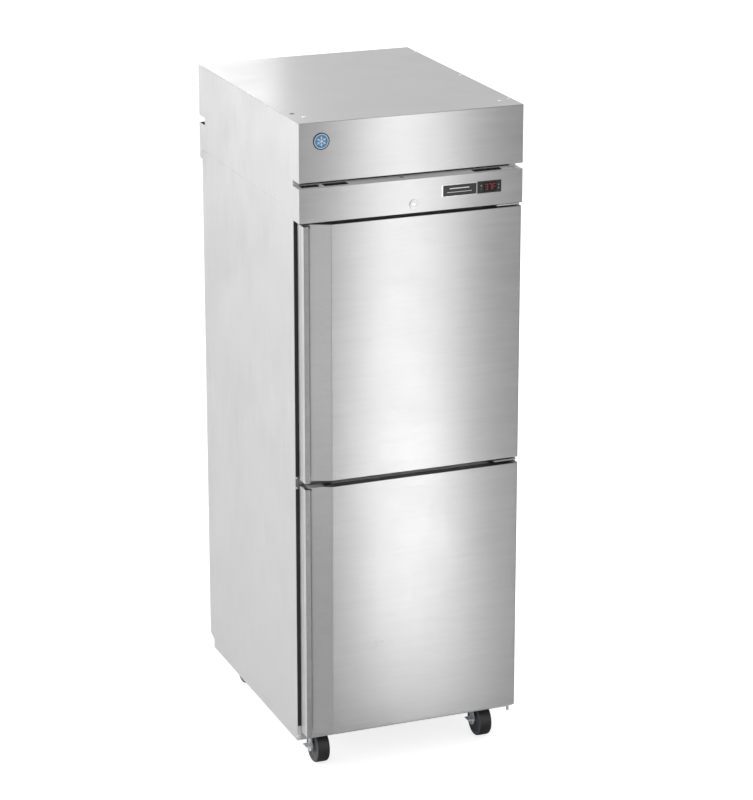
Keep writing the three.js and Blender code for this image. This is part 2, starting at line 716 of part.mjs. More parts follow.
// Swivel fork: race disc and king pin, crown, two legs and the axle bolt. Swivel axis at x = y = 0.
function casterFork() {
  const legIn = WHEEL_HALF + 1.5;
  const legOut = legIn + 3.2;
  const leg = [
    [-28, 112], [26, 112], [-TRAIL + 15, 56], [-TRAIL + 12, 42], [-TRAIL, 37], [-TRAIL - 12, 42],
    [-TRAIL - 14, 56],
  ];
  return join(
    barZ(26, 0, 0, 108, 120.4, 20),
    barZ(AXLE_RADIUS, 0, 0, 118, PAN_TOP - 2),
    box([-legOut, -28, 105], [legOut, 26, 112]),
    prismX(leg, -legOut, -legIn),
    prismX(leg, legIn, legOut),
    barX(AXLE_RADIUS, -TRAIL, WHEEL_RADIUS, -legOut - 7, legOut + 7),
  );
}

// Wheel about the X axis at the origin: wide tread with rounded shoulders and a recessed hub.
function casterWheel() {
  const [r, w] = [WHEEL_RADIUS, WHEEL_HALF];
  const bore = AXLE_RADIUS + 0.8;
  const profile = [
    [bore, -w + 3], [16, -w + 3], [20, -w + 7], [34, -w + 7], [38, -w], [r - 5, -w], [r, -w + 5],
    [r, w - 5], [r - 5, w], [38, w], [34, w - 7], [20, w - 7], [16, w - 3], [bore, w - 3],
    [bore, -w + 3],
  ].map(([radius, along]) => new THREE.Vector2(radius, along));
  const wheel = new THREE.LatheGeometry(profile, 28);
  wheel.rotateZ(-Math.PI / 2);
  return wheel;
}

// Foot brake turning on the left end of the axle bolt, on both front casters.
function brakePedal() {
  const hubEnd = -WHEEL_HALF - 5.2;
  const hub = barX(15, 0, 0, hubEnd - 4, hubEnd);
  const tab = box([hubEnd - 22, -22, 8], [hubEnd - 2, 6, 11]);
  const bore = barX(AXLE_RADIUS + 0.6, 0, 0, hubEnd - 5, hubEnd + 1);
  return cut(join(hub, tab), bore);
}

for (const [name, x, y, braked] of [
  ['front_left', -CASTER_X, FRONT_CASTER_Y, true],
  ['front_right', CASTER_X, FRONT_CASTER_Y, true],
  ['rear_left', -CASTER_X, REAR_CASTER_Y, false],
  ['rear_right', CASTER_X, REAR_CASTER_Y, false],
]) {
  const caster = new THREE.Group();
  caster.position.set(x, y, 0);
  refrigerator.add(caster);
  place(`caster_fork_${name}`, casterFork(), zincSteel, caster);
  const axle = new THREE.Group();
  axle.position.set(0, -TRAIL, WHEEL_RADIUS);
  caster.add(axle);
  place(`caster_wheel_${name}`, casterWheel(), wheelRubber, axle);
  if (braked) {
    place(`brake_pedal_${name}`, brakePedal(), zincSteel, axle);
  }
}

export default refrigerator;
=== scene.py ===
import math

import bmesh
import bpy
from mathutils import Matrix, Quaternion, Vector


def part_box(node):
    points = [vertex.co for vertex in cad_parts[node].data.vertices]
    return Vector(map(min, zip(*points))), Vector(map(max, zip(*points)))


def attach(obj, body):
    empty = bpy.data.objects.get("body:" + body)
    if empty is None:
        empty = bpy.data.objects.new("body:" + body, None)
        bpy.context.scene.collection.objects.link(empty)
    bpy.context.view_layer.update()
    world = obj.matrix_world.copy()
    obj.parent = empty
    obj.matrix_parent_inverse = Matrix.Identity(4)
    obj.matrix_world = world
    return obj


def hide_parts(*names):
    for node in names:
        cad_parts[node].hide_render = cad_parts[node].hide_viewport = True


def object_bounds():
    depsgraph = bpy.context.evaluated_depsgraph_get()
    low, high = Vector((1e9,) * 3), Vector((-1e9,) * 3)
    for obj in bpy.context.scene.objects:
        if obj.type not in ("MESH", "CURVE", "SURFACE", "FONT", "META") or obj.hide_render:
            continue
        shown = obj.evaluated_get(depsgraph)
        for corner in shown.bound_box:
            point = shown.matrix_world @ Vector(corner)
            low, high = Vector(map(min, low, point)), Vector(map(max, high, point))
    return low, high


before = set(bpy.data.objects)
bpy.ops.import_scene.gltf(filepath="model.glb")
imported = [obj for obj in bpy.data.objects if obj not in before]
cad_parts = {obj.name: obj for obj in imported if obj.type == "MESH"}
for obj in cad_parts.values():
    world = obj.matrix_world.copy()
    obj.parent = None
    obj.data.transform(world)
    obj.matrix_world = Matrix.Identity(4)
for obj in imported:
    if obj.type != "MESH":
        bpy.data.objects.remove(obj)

cad_box = [list(corner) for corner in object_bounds()]
scene = bpy.context.scene
MM = 0.001

# ---------------------------------------------------------------- camera
# A long lens to the left of the doors and above the hood, tilted down, so that the upright
# edges stay nearly parallel and the left side and the top both show.

CAMERA_AZIMUTH = math.radians(21.59)
CAMERA_DROP = math.radians(17.33)
camera_look = Vector((
    math.sin(CAMERA_AZIMUTH) * math.cos(CAMERA_DROP),
    math.cos(CAMERA_AZIMUTH) * math.cos(CAMERA_DROP),
    -math.sin(CAMERA_DROP),
))
bpy.ops.object.select_all(action="DESELECT")
bpy.ops.object.camera_add(location=(-3.222, -8.307, 3.929))
camera = bpy.context.active_object
camera.name = "camera"
camera.rotation_mode = "QUATERNION"
camera.rotation_quaternion = camera_look.to_track_quat("-Z", "Y")
camera.data.sensor_width = 36
camera.data.lens = 136.04
camera.data.shift_y = -0.05
camera.data.clip_end = 200
scene.camera = camera

# ---------------------------------------------------------------- studio
# A pale seamless floor under an even white room. A tall strip light stands in front and to the
# right, where the brushed fronts mirror it, with a long strip over the floor before it. Broad soft
# lights wash the left side and the top, and small fills light the pulls and the intake slit.


def soft_light(name, place, aim, width, height, power, turn=0):
    """A rectangular light that faces a point and isn't seen itself."""
    bpy.ops.object.select_all(action="DESELECT")
    bpy.ops.object.light_add(type="AREA", location=place)
    light = bpy.context.active_object
    light.name = name
    light.data.shape = "RECTANGLE"
    light.data.size = width
    light.data.size_y = height
    light.data.energy = power
    light.rotation_mode = "QUATERNION"
    facing = (Vector(aim) - Vector(place)).to_track_quat("-Z", "Y")
    light.rotation_quaternion = facing @ Quaternion((0, 0, 1), math.radians(turn))
    light.visible_camera = False
    return light


def shader_tree(material):
    """An empty node tree for a material, with its output and its Principled shader."""
    material.use_nodes = True
    tree = material.node_tree
    tree.nodes.clear()
    output = tree.nodes.new("ShaderNodeOutputMaterial")
    shader = tree.nodes.new("ShaderNodeBsdfPrincipled")
    tree.links.new(shader.outputs["BSDF"], output.inputs["Surface"])
    return tree, shader


def put(tree, kind, inputs=None, **settings):
    """A node with its settings, and with each named input set to a value or linked to a socket."""
    made = tree.nodes.new(kind)
    for setting, value in settings.items():
        setattr(made, setting, value)
    for socket, value in (inputs or {}).items():
        if isinstance(value, bpy.types.NodeSocket):
            tree.links.new(value, made.inputs[socket])
        else:
            made.inputs[socket].default_value = value
    return made


def floor_finish():
    material = bpy.data.materials.new("studio_floor_paper")
    tree, shader = shader_tree(material)
    place = put(tree, "ShaderNodeTexCoord").outputs["Object"]
    cloud = put(tree, "ShaderNodeTexNoise", {"Vector": place, "Scale": 1.4, "Detail": 3.0})
    tone = put(tree, "ShaderNodeValToRGB", {"Fac": cloud.outputs["Fac"]})
    tone.color_ramp.elements[0].color = (0.50, 0.50, 0.50, 1)
    tone.color_ramp.elements[1].color = (0.54, 0.54, 0.54, 1)
    tree.links.new(tone.outputs["Color"], shader.inputs["Base Color"])
    shader.inputs["Roughness"].default_value = 0.9
    shader.inputs["Specular IOR Level"].default_value = 0.1
    seen = put(tree, "ShaderNodeLightPath").outputs["Is Camera Ray"]
    lift = put(tree, "ShaderNodeMath", {0: seen, 1: 0.78}, operation="MULTIPLY")
    tree.links.new(lift.outputs["Value"], shader.inputs["Emission Strength"])
    shader.inputs["Emission Color"].default_value = (1, 1, 1, 1)
    return material


FLOOR_HALF = 60
bpy.ops.object.select_all(action="DESELECT")
bpy.ops.mesh.primitive_plane_add(size=2 * FLOOR_HALF, location=(0, 0, 0))
floor = bpy.context.active_object
floor.name = "studio_floor"
floor.data.materials.append(floor_finish())

world = bpy.data.worlds.new("studio_room")
scene.world = world
world.use_nodes = True
room = world.node_tree
room.nodes.clear()
room_way = put(room, "ShaderNodeTexCoord").outputs["Generated"]
room_split = put(room, "ShaderNodeSeparateXYZ", {"Vector": room_way})
room_left = put(room, "ShaderNodeMath", {
    0: room_split.outputs["X"], 1: -0.25, 2: 0.86,
}, operation="MULTIPLY_ADD")
room_back = put(room, "ShaderNodeMath", {
    0: room_split.outputs["Y"], 1: 0.25, 2: room_left.outputs["Value"],
}, operation="MULTIPLY_ADD")
room_light = put(room, "ShaderNodeBackground", {
    "Color": (1, 1, 1, 1), "Strength": room_back.outputs["Value"],
})
room_seen = put(room, "ShaderNodeBackground", {"Color": (1, 1, 1, 1), "Strength": 1.0})
room_path = put(room, "ShaderNodeLightPath")
room_mix = put(room, "ShaderNodeMixShader", {
    0: room_path.outputs["Is Camera Ray"],
    1: room_light.outputs["Background"],
    2: room_seen.outputs["Background"],
})
put(room, "ShaderNodeOutputWorld", {"Surface": room_mix.outputs["Shader"]})
scene.view_settings.view_transform = "Standard"

soft_light("door_strip", (0.52, -1.75, 1.25), (0.52, -0.45, 1.25), 0.36, 2.5, 4.9)
floor_strip = soft_light("floor_strip", (0.60, -1.95, 0.5), (0.60, -1.95, 0), 0.30, 2.6, 5.5, 21.6)
floor_strip.visible_glossy = False
floor_strip.data.spread = math.radians(70)
soft_light("pull_fill", (-0.80, -1.65, 1.15), (-0.29, -0.45, 1.15), 0.5, 1.5, 0.95)
soft_light("slit_fill", (0, -0.412, 1.842), (0, -0.412, 1.8), 0.66, 0.05, 0.05)
soft_light("side_wash", (-4.0, 1.5, 3.0), (-0.35, 0, 1.6), 3.0, 3.0, 130)
soft_light("top_strip", (0.35, 2.9, 3.0), (-0.1, 0, 2.0), 0.9, 1.6, 5.4)
soft_light("overhead", (-0.8, 2.2, 4.6), (0, 0, 1.0), 4.0, 3.0, 15)

# ---------------------------------------------------------------- cabinet skins
# Side skins of thin satin stainless sheet, folded round the front corners into a narrow flange.
# Skins, floor pan and rear pan are riveted together and foamed to the inner compartment.

BEND = 2.0 * MM  # outside radius of a folded sheet edge
BURR = 0.3 * MM  # eased edge of cut sheet


def only(piece):
    """Make one piece the only selected and the active object."""
    bpy.ops.object.select_all(action="DESELECT")
    piece.select_set(True)
    bpy.context.view_layer.objects.active = piece


def from_frame(node, name):
    """A workable copy of a frame node: one welded surface with its flat faces whole again."""
    piece = bpy.data.objects.new(name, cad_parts[node].data.copy())
    piece.data.name = name
    piece.data.materials.clear()
    scene.collection.objects.link(piece)
    only(piece)
    bpy.ops.mesh.customdata_custom_splitnormals_clear()
    bpy.ops.object.mode_set(mode="EDIT")
    bpy.ops.mesh.select_all(action="SELECT")
    bpy.ops.mesh.remove_doubles(threshold=0.02 * MM)
    bpy.ops.mesh.dissolve_limited(angle_limit=math.radians(1))
    bpy.ops.object.mode_set(mode="OBJECT")
    return piece


def choose_edges(piece, test, sharper_than):
    """Enter edit mode with those folded or cut edges chosen that pass a test of their two ends."""
    only(piece)
    bpy.ops.object.mode_set(mode="EDIT")
    bpy.ops.mesh.select_mode(type="EDGE")
    bpy.ops.mesh.select_all(action="DESELECT")
    form = bmesh.from_edit_mesh(piece.data)
    limit = math.radians(sharper_than)
    for edge in form.edges:
        if len(edge.link_faces) == 2 and edge.calc_face_angle() > limit:
            if test(edge.verts[0].co, edge.verts[1].co):
                edge.select_set(True)
    bmesh.update_edit_mesh(piece.data)


def choose_faces(piece, test):
    """Enter edit mode with those faces chosen that pass a test of their middle and normal."""
    only(piece)
    bpy.ops.object.mode_set(mode="EDIT")
    bpy.ops.mesh.select_mode(type="FACE")
    bpy.ops.mesh.select_all(action="DESELECT")
    form = bmesh.from_edit_mesh(piece.data)
    for face in form.faces:
        if test(face.calc_center_median(), face.normal):
            face.select_set(True)
    bmesh.update_edit_mesh(piece.data)


def ease(piece, radius, segments=2, test=lambda a, b: True, sharper_than=25):
    """Round the chosen edges to a radius."""
    choose_edges(piece, test, sharper_than)
    bpy.ops.mesh.bevel(offset=radius, segments=segments, affect="EDGES", clamp_overlap=True)
    bpy.ops.object.mode_set(mode="OBJECT")
    return piece


def fair(piece, angle=40):
    """Shade a piece smoothly over its rounded edges and keep its flat faces flat."""
    only(piece)
    bpy.ops.object.shade_smooth_by_angle(angle=math.radians(angle))
    bpy.ops.object.modifier_add(type="WEIGHTED_NORMAL")
    piece.modifiers[-1].keep_sharp = True
    bpy.ops.object.modifier_apply(modifier=piece.modifiers[-1].name)
    return piece


def dress(piece, finish, body, slot, *stands_for):
    """Give a finished piece its material and the body it moves with. The slot argument is not used."""
    piece.data.materials.clear()
    piece.data.materials.append(finish)
    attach(piece, body)
    if stands_for:
        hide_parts(*stands_for)
    return piece


def repaint(piece, finish, test):
    """A second finish on those faces of a piece that pass a test of their middle and normal."""
    piece.data.materials.append(finish)
    for face in piece.data.polygons:
        if test(face.center, face.normal):
            face.material_index = len(piece.data.materials) - 1


def remade(node, name, rounds, finish, slot, body="cabinet", angle=40):
    """A frame node rebuilt: its edges rounded, its surface faired, and its finish put on."""
    piece = from_frame(node, name)
    for rounding in rounds:
        ease(piece, *rounding)
    fair(piece, angle)
    return dress(piece, finish, body, slot, node)


def block(name, low, high):
    """A rectangular blank between two corners."""
    low, high = Vector(low), Vector(high)
    bpy.ops.object.select_all(action="DESELECT")
    bpy.ops.mesh.primitive_cube_add(size=1, location=(low + high) / 2)
    blank = bpy.context.active_object
    blank.name = name
    blank.scale = high - low
    bpy.ops.object.transform_apply(location=True, rotation=True, scale=True)
    return blank


def laid(name, low, high, rounds, finish, slot, body="cabinet"):
    """A small rectangular part with its edges rounded and its finish put on."""
    piece = block(name, low, high)
    for rounding in rounds:
        ease(piece, *rounding)
    fair(piece)
    return dress(piece, finish, body, slot)


def bar(name, start, end, radius, sides=24):
    """A round bar between two points."""
    start, end = Vector(start), Vector(end)
    bpy.ops.object.select_all(action="DESELECT")
    bpy.ops.mesh.primitive_cylinder_add(vertices=sides, radius=radius, depth=(end - start).length)
    piece = bpy.context.active_object
    piece.name = name
    piece.rotation_mode = "QUATERNION"
    piece.rotation_quaternion = (end - start).to_track_quat("Z", "Y")
    piece.location = (start + end) / 2
    bpy.ops.object.transform_apply(location=True, rotation=True, scale=True)
    return piece


def joined(name, pieces):
    """Several pieces made into one."""
    bpy.ops.object.select_all(action="DESELECT")
    for piece in pieces:
        piece.select_set(True)
    bpy.context.view_layer.objects.active = pieces[0]
    if len(pieces) > 1:
        bpy.ops.object.join()
    pieces[0].name = name
    return pieces[0]


def screw_head(name, place, outward, radius=4.2 * MM, rise=1.6 * MM, recess=True):
    """A domed screw head with a round recess in its crown unless recess is off, standing on a sheet."""
    way = Vector(outward)
    place = Vector(place)
    head = bar(name, place, place + way * rise, radius, 20)
    ease(head, rise * 0.8, 3, lambda a, b: (
        min((a - place).dot(way), (b - place).dot(way)) > rise * 0.9
    ))
    if recess:
        choose_faces(head, lambda m, n: (
            n.dot(way) > 0.99 and (m - place).dot(way) > rise * 0.98
        ))
        bpy.ops.mesh.inset(thickness=radius * 0.18, depth=0)
        bpy.ops.mesh.inset(thickness=radius * 0.1, depth=-rise * 0.45)
        bpy.ops.object.mode_set(mode="OBJECT")
    return head


def grain_group():
    """Fine parallel lines left by the belt that brushed the sheet, in bundles of varied depth."""
    group = bpy.data.node_groups.new("belt_grain", "ShaderNodeTree")
    group.interface.new_socket("Vector", in_out="INPUT", socket_type="NodeSocketVector")
    group.interface.new_socket("Tone", in_out="OUTPUT", socket_type="NodeSocketFloat")
    group.interface.new_socket("Height", in_out="OUTPUT", socket_type="NodeSocketFloat")
    start = group.nodes.new("NodeGroupInput")
    end = group.nodes.new("NodeGroupOutput")
    lines = put(group, "ShaderNodeTexNoise", {
        "Vector": start.outputs["Vector"], "Scale": 1.0, "Detail": 4.0, "Roughness": 0.7,
    })
    bundles = put(group, "ShaderNodeTexNoise", {
        "Vector": start.outputs["Vector"], "Scale": 0.22, "Detail": 2.0, "Roughness": 0.5,
    })
    both = put(group, "ShaderNodeMath", {
        0: lines.outputs["Fac"], 1: bundles.outputs["Fac"],
    }, operation="ADD")
    tone = put(group, "ShaderNodeMapRange", {
        "Value": both.outputs["Value"], "From Min": 0.65, "From Max": 1.35,
    })
    group.links.new(tone.outputs["Result"], end.inputs["Tone"])
    group.links.new(lines.outputs["Fac"], end.inputs["Height"])
    return group


def marks_group():
    """Soft cloudy marks of wiping and handling; Size is how many fit in a metre."""
    group = bpy.data.node_groups.new("handling_marks", "ShaderNodeTree")
    group.interface.new_socket("Size", in_out="INPUT", socket_type="NodeSocketFloat")
    group.interface.new_socket("Mask", in_out="OUTPUT", socket_type="NodeSocketFloat")
    start = group.nodes.new("NodeGroupInput")
    end = group.nodes.new("NodeGroupOutput")
    place = put(group, "ShaderNodeTexCoord").outputs["Object"]
    clouds = put(group, "ShaderNodeTexNoise", {
        "Vector": place, "Scale": start.outputs["Size"], "Detail": 5.0, "Roughness": 0.6,
        "Distortion": 0.4,
    })
    mask = put(group, "ShaderNodeMapRange", {
        "Value": clouds.outputs["Fac"], "From Min": 0.35, "From Max": 0.7,
    })
    group.links.new(mask.outputs["Result"], end.inputs["Mask"])
    return group


belt_grain = grain_group()
handling_marks = marks_group()


def grey(level):
    return (level, level, level, 1)


def brushed(name, dull, bright, lines, roughness, stretch=0.0, around="Z"):
    """Brushed stainless; lines are the grain lines per metre along X, Y and Z."""
    material = bpy.data.materials.new(name)
    tree, shader = shader_tree(material)
    place = put(tree, "ShaderNodeTexCoord").outputs["Object"]
    laid = put(tree, "ShaderNodeMapping", {"Vector": place, "Scale": lines})
    grain = put(tree, "ShaderNodeGroup", node_tree=belt_grain)
    tree.links.new(laid.outputs["Vector"], grain.inputs["Vector"])
    marks = put(tree, "ShaderNodeGroup", node_tree=handling_marks)
    marks.inputs["Size"].default_value = 5.0
    tone = put(tree, "ShaderNodeMixRGB", {
        "Fac": grain.outputs["Tone"], "Color1": grey(dull), "Color2": grey(bright),
    })
    tree.links.new(tone.outputs["Color"], shader.inputs["Base Color"])
    lined = put(tree, "ShaderNodeMapRange", {
        "Value": grain.outputs["Tone"], "To Min": roughness - 0.03, "To Max": roughness + 0.03,
    })
    handled = put(tree, "ShaderNodeMath", {
        0: marks.outputs["Mask"], 1: 0.04, 2: lined.outputs["Result"],
    }, operation="MULTIPLY_ADD")
    tree.links.new(handled.outputs["Value"], shader.inputs["Roughness"])
    bump = put(tree, "ShaderNodeBump", {
        "Strength": 0.08, "Distance": 0.0002, "Height": grain.outputs["Height"],
    })
    tree.links.new(bump.outputs["Normal"], shader.inputs["Normal"])
    shader.inputs["Metallic"].default_value = 1.0
    if stretch:
        tangent = put(tree, "ShaderNodeTangent", direction_type="RADIAL", axis=around)
        tree.links.new(tangent.outputs["Tangent"], shader.inputs["Tangent"])
        shader.inputs["Anisotropic"].default_value = stretch
        shader.inputs["Anisotropic Rotation"].default_value = 0.25
    return material


def mottled(name, dark, light, scale, roughness, metallic, relief, cells=False, marks=6.0):
    """A cast, moulded, coated or plated surface: a speckle of two tones with its own relief."""
    material = bpy.data.materials.new(name)
    tree, shader = shader_tree(material)
    place = put(tree, "ShaderNodeTexCoord").outputs["Object"]
    if cells:
        speckle = put(tree, "ShaderNodeTexVoronoi", {"Vector": place, "Scale": scale})
        level = speckle.outputs["Color"]
    else:
        speckle = put(tree, "ShaderNodeTexNoise", {
            "Vector": place, "Scale": scale, "Detail": 3.0, "Roughness": 0.55,
        })
        level = speckle.outputs["Fac"]
    tone = put(tree, "ShaderNodeMixRGB", {
        "Fac": level, "Color1": (*dark, 1), "Color2": (*light, 1),
    })
    worn = put(tree, "ShaderNodeGroup", node_tree=handling_marks)
    worn.inputs["Size"].default_value = marks
    shade = put(tree, "ShaderNodeMixRGB", {
        "Color1": tone.outputs["Color"], "Color2": (*[c * 0.86 for c in dark], 1),
    })
    faint = put(tree, "ShaderNodeMath", {0: worn.outputs["Mask"], 1: 0.35}, operation="MULTIPLY")
    tree.links.new(faint.outputs["Value"], shade.inputs["Fac"])
    tree.links.new(shade.outputs["Color"], shader.inputs["Base Color"])
    gloss = put(tree, "ShaderNodeMapRange", {
        "Value": worn.outputs["Mask"], "To Min": roughness - 0.04, "To Max": roughness + 0.06,
    })
    tree.links.new(gloss.outputs["Result"], shader.inputs["Roughness"])
    shader.inputs["Metallic"].default_value = metallic
    bump = put(tree, "ShaderNodeBump", {"Strength": relief, "Distance": 0.0003, "Height": level})
    tree.links.new(bump.outputs["Normal"], shader.inputs["Normal"])
    return material


# A dull dark zinc: the real plating of the jamb gussets and the door side seams, and also painted shade
# on the doors' top faces, which lie in the shaded gaps above each door.
dull_zinc_and_painted_shade = mottled("dull_zinc_and_painted_shade", (0.20, 0.205, 0.21), (0.28, 0.285, 0.29), 200, 0.5, 1.0, 0.08)
side_satin = brushed("satin_steel_side", 0.705, 0.745, (300, 300, 30), 0.5)
zinc_plate = mottled(
    "zinc_plated_sheet", (0.50, 0.52, 0.55), (0.62, 0.64, 0.66), 60, 0.38, 1.0, 0.06, True
)
bright_screw = mottled("bright_screw", (0.78, 0.78, 0.78), (0.9, 0.9, 0.9), 300, 0.25, 1.0, 0.05)
black_moulding = mottled(
    "black_moulding", (0.010, 0.010, 0.011), (0.020, 0.020, 0.021), 1400, 0.5, 0.0, 0.2
)

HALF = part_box("hood_front_panel")[1].x
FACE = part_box("hood_front_panel")[0].y
CABINET_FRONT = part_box("side_panel_left")[0].y
CABINET_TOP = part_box("side_panel_left")[1].z
REAR_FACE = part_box("rear_panel")[1].y
SHEET = 1.2 * MM


def at_side(a, b):
    """On the outer face of either side."""
    return abs(abs(a.x) - HALF) < BURR and abs(abs(b.x) - HALF) < BURR


def at_corner(a, b):
    """The upright fold between a side and the front."""
    at_front = abs(a.y - CABINET_FRONT) < BURR and abs(b.y - CABINET_FRONT) < BURR
    return at_front and at_side(a, b)


SEAM = 0.8 * MM  # rolled edge where two sheets meet
for side in ("left", "right"):
    remade(f"side_panel_{side}", f"side_skin_{side}", [
        (BEND, 3, at_corner),
        (SEAM, 2, lambda a, b: at_side(a, b) and min(a.z, b.z) > CABINET_TOP - BURR),
    ], side_satin, "side_steel")

PAN_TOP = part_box("base_pan")[1].z
remade("base_pan", "floor_pan", [
    (1.5 * MM, 2, lambda a, b: min(a.z, b.z) < PAN_TOP - 4 * MM, 40),
], zinc_plate, "zinc_steel")

rear = remade("rear_panel", "rear_pan", [
    (BEND, 3, lambda a, b: abs(a.y - REAR_FACE) < BURR and abs(b.y - REAR_FACE) < BURR),
], zinc_plate, "zinc_steel")
repaint(rear, side_satin, lambda m, n: abs(n.x) > 0.9 and abs(m.x) > HALF - 2 * SHEET)

remade("cabinet_top_panel", "cabinet_lid", [(BURR, 1)], zinc_plate, "zinc_steel")

RIVET_PITCH = 0.2
ROW_PITCH = 0.13
rivet_spots = [
    (side * (HALF - 16 * MM), 0.24 + step * RIVET_PITCH) for side in (-1, 1) for step in range(8)
]
rivet_spots += [
    (-0.26 + step * ROW_PITCH, height)
    for step in range(5) for height in (0.150, CABINET_TOP - 45 * MM)
]
rivets = [
    screw_head("rivet", (x, REAR_FACE, z), (0, 1, 0), 3 * MM, 1 * MM, False) for x, z in rivet_spots
]
dress(fair(joined("rear_pan_rivets", rivets)), bright_screw, "cabinet", "zinc_steel")

# Black vinyl strips cover the folded flange at both front corners, from the bottom rail to the
# control panel; their black is partly painted shade, where the doors' deep sides shade the flange.
# White-headed screws hold the flange to the face frame beside them.

STRIP_BOTTOM = 141 * MM
GUSSET = (903 * MM, 941 * MM)  # bottom and top of the plate between the two strips
STRIP_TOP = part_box("control_panel")[0].z - 2 * MM
FLANGE_INNER = HALF - 12 * MM
for side, name in ((-1, "left"), (1, "right")):
    edges = sorted((side * (HALF - 1.6 * MM), side * FLANGE_INNER))
    for part, low, high in (
        ("lower", STRIP_BOTTOM, GUSSET[0] - 0.5 * MM), ("upper", GUSSET[1] + 0.5 * MM, STRIP_TOP),
    ):
        laid(
            f"jamb_strip_{name}_{part}",
            (edges[0], CABINET_FRONT - 1.2 * MM, low), (edges[1], CABINET_FRONT - 0.05 * MM, high),
            [(0.5 * MM, 2)], black_moulding, "black_plastic",
        )
    laid(
        f"jamb_gusset_{name}",
        (edges[0], CABINET_FRONT - 1.0 * MM, GUSSET[0]),
        (edges[1], CABINET_FRONT - 0.05 * MM, GUSSET[1]),
        [(0.3 * MM, 1)], dull_zinc_and_painted_shade, "zinc_steel",
    )

heads = []
for side in (-1, 1):
    for across, height in ((345, 937.5), (345, 906.4), (346, 107), (341, 107), (343.5, 101.6)):
        heads.append(screw_head(
            "head", (side * across * MM, CABINET_FRONT, height * MM), (0, -1, 0), 3.0 * MM, 2.2 * MM
        ))
dress(fair(joined("corner_flange_screws", heads)), bright_screw, "cabinet", "chrome")

# ---------------------------------------------------------------- insulation
# Rigid polyurethane foam poured between the skins and the compartment, and inside each door.
# It has a fine closed-cell skin, straw yellow, and holds the sheets together.


def refinish(node, finish):
    """A frame node that is shown as it is, in a finish of its own."""
    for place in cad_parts[node].material_slots:
        place.material = finish


poured_foam = mottled(
    "poured_foam", (0.62, 0.52, 0.27), (0.80, 0.72, 0.45), 700, 0.85, 0.0, 0.6, True, 14.0
)
for node in ("insulation_foam", "upper_door_foam_core", "lower_door_foam_core"):
    refinish(node, poured_foam)

# ---------------------------------------------------------------- face frame and compartment
# A brushed steel frame rings the opening, with a mullion between the doors; the compartment
# behind it is a tub of bright stainless with coved corners, welded and cleaned.

front_steel = brushed("brushed_steel_front", 0.485, 0.53, (24, 320, 320), 0.30, 0.75, "Z")
liner_steel = brushed("bright_liner_steel", 0.60, 0.70, (18, 260, 260), 0.30)

remade("front_frame", "face_frame", [(0.5 * MM, 1)], front_steel, "brushed_steel")
remade("mullion", "door_mullion", [(1.5 * MM, 3)], front_steel, "brushed_steel")

LINER_LOW, LINER_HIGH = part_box("compartment_liner")
ROOM_HALF = LINER_HIGH.x - SHEET
ROOM_FLOOR = LINER_LOW.z + SHEET
ROOM_CEILING = LINER_HIGH.z - SHEET
ROOM_BACK = LINER_HIGH.y - SHEET
COVE = 9 * MM


def inside_room(point):
    return (
        abs(point.x) < ROOM_HALF + BURR and point.y < ROOM_BACK + BURR
        and ROOM_FLOOR - BURR < point.z < ROOM_CEILING + BURR
    )


remade("compartment_liner", "compartment_tub", [
    (COVE, 4, lambda a, b: inside_room(a) and inside_room(b) and max(a.y, b.y) > LINER_LOW.y + BURR),
], liner_steel, "liner_steel")

# ---------------------------------------------------------------- shelves
# Slotted posts are screwed to the compartment's sides and carry a ledge under each shelf; the
# shelves are round steel wires welded to a frame and coated with pale epoxy.

coated_wire = mottled(
    "epoxy_coated_wire", (0.70, 0.71, 0.70), (0.82, 0.83, 0.82), 500, 0.35, 0.0, 0.08
)
# Near black: painted shade for slots, holes and the keyway, which are drawn as thin plates on the
# surface.
gap_painted_shade = mottled("gap_painted_shade", (0.006, 0.006, 0.006), (0.012, 0.012, 0.012), 300, 0.8, 0.0, 0.1)
SLOT_COUNT = 45
SLOT_PITCH = 27 * MM
SLOT_HEIGHT = 9 * MM

for side, sign in (("left", -1), ("right", 1)):
    remade(
        f"shelf_rack_{side}", f"shelf_posts_{side}", [(0.8 * MM, 2)], zinc_plate, "zinc_steel"
    )
    # Each slot is a thin near-black plate on the post, painted shade for the opening.
    slots = []
    low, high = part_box(f"shelf_rack_{side}")
    post_face = sign * (ROOM_HALF - 5 * MM)
    edges = sorted((post_face, post_face - sign * 0.25 * MM))
    for post_y in (-280 * MM, 200 * MM):
        for step in range(SLOT_COUNT):
            height = low.z + 20 * MM + step * SLOT_PITCH
            if height < high.z - 10 * MM:
                slots.append(block(
                    "slot", (edges[0], post_y - 2 * MM, height),
                    (edges[1], post_y + 2 * MM, height + SLOT_HEIGHT),
                ))
    dress(joined(f"shelf_post_slots_{side}", slots), gap_painted_shade, "cabinet", "zinc_steel")

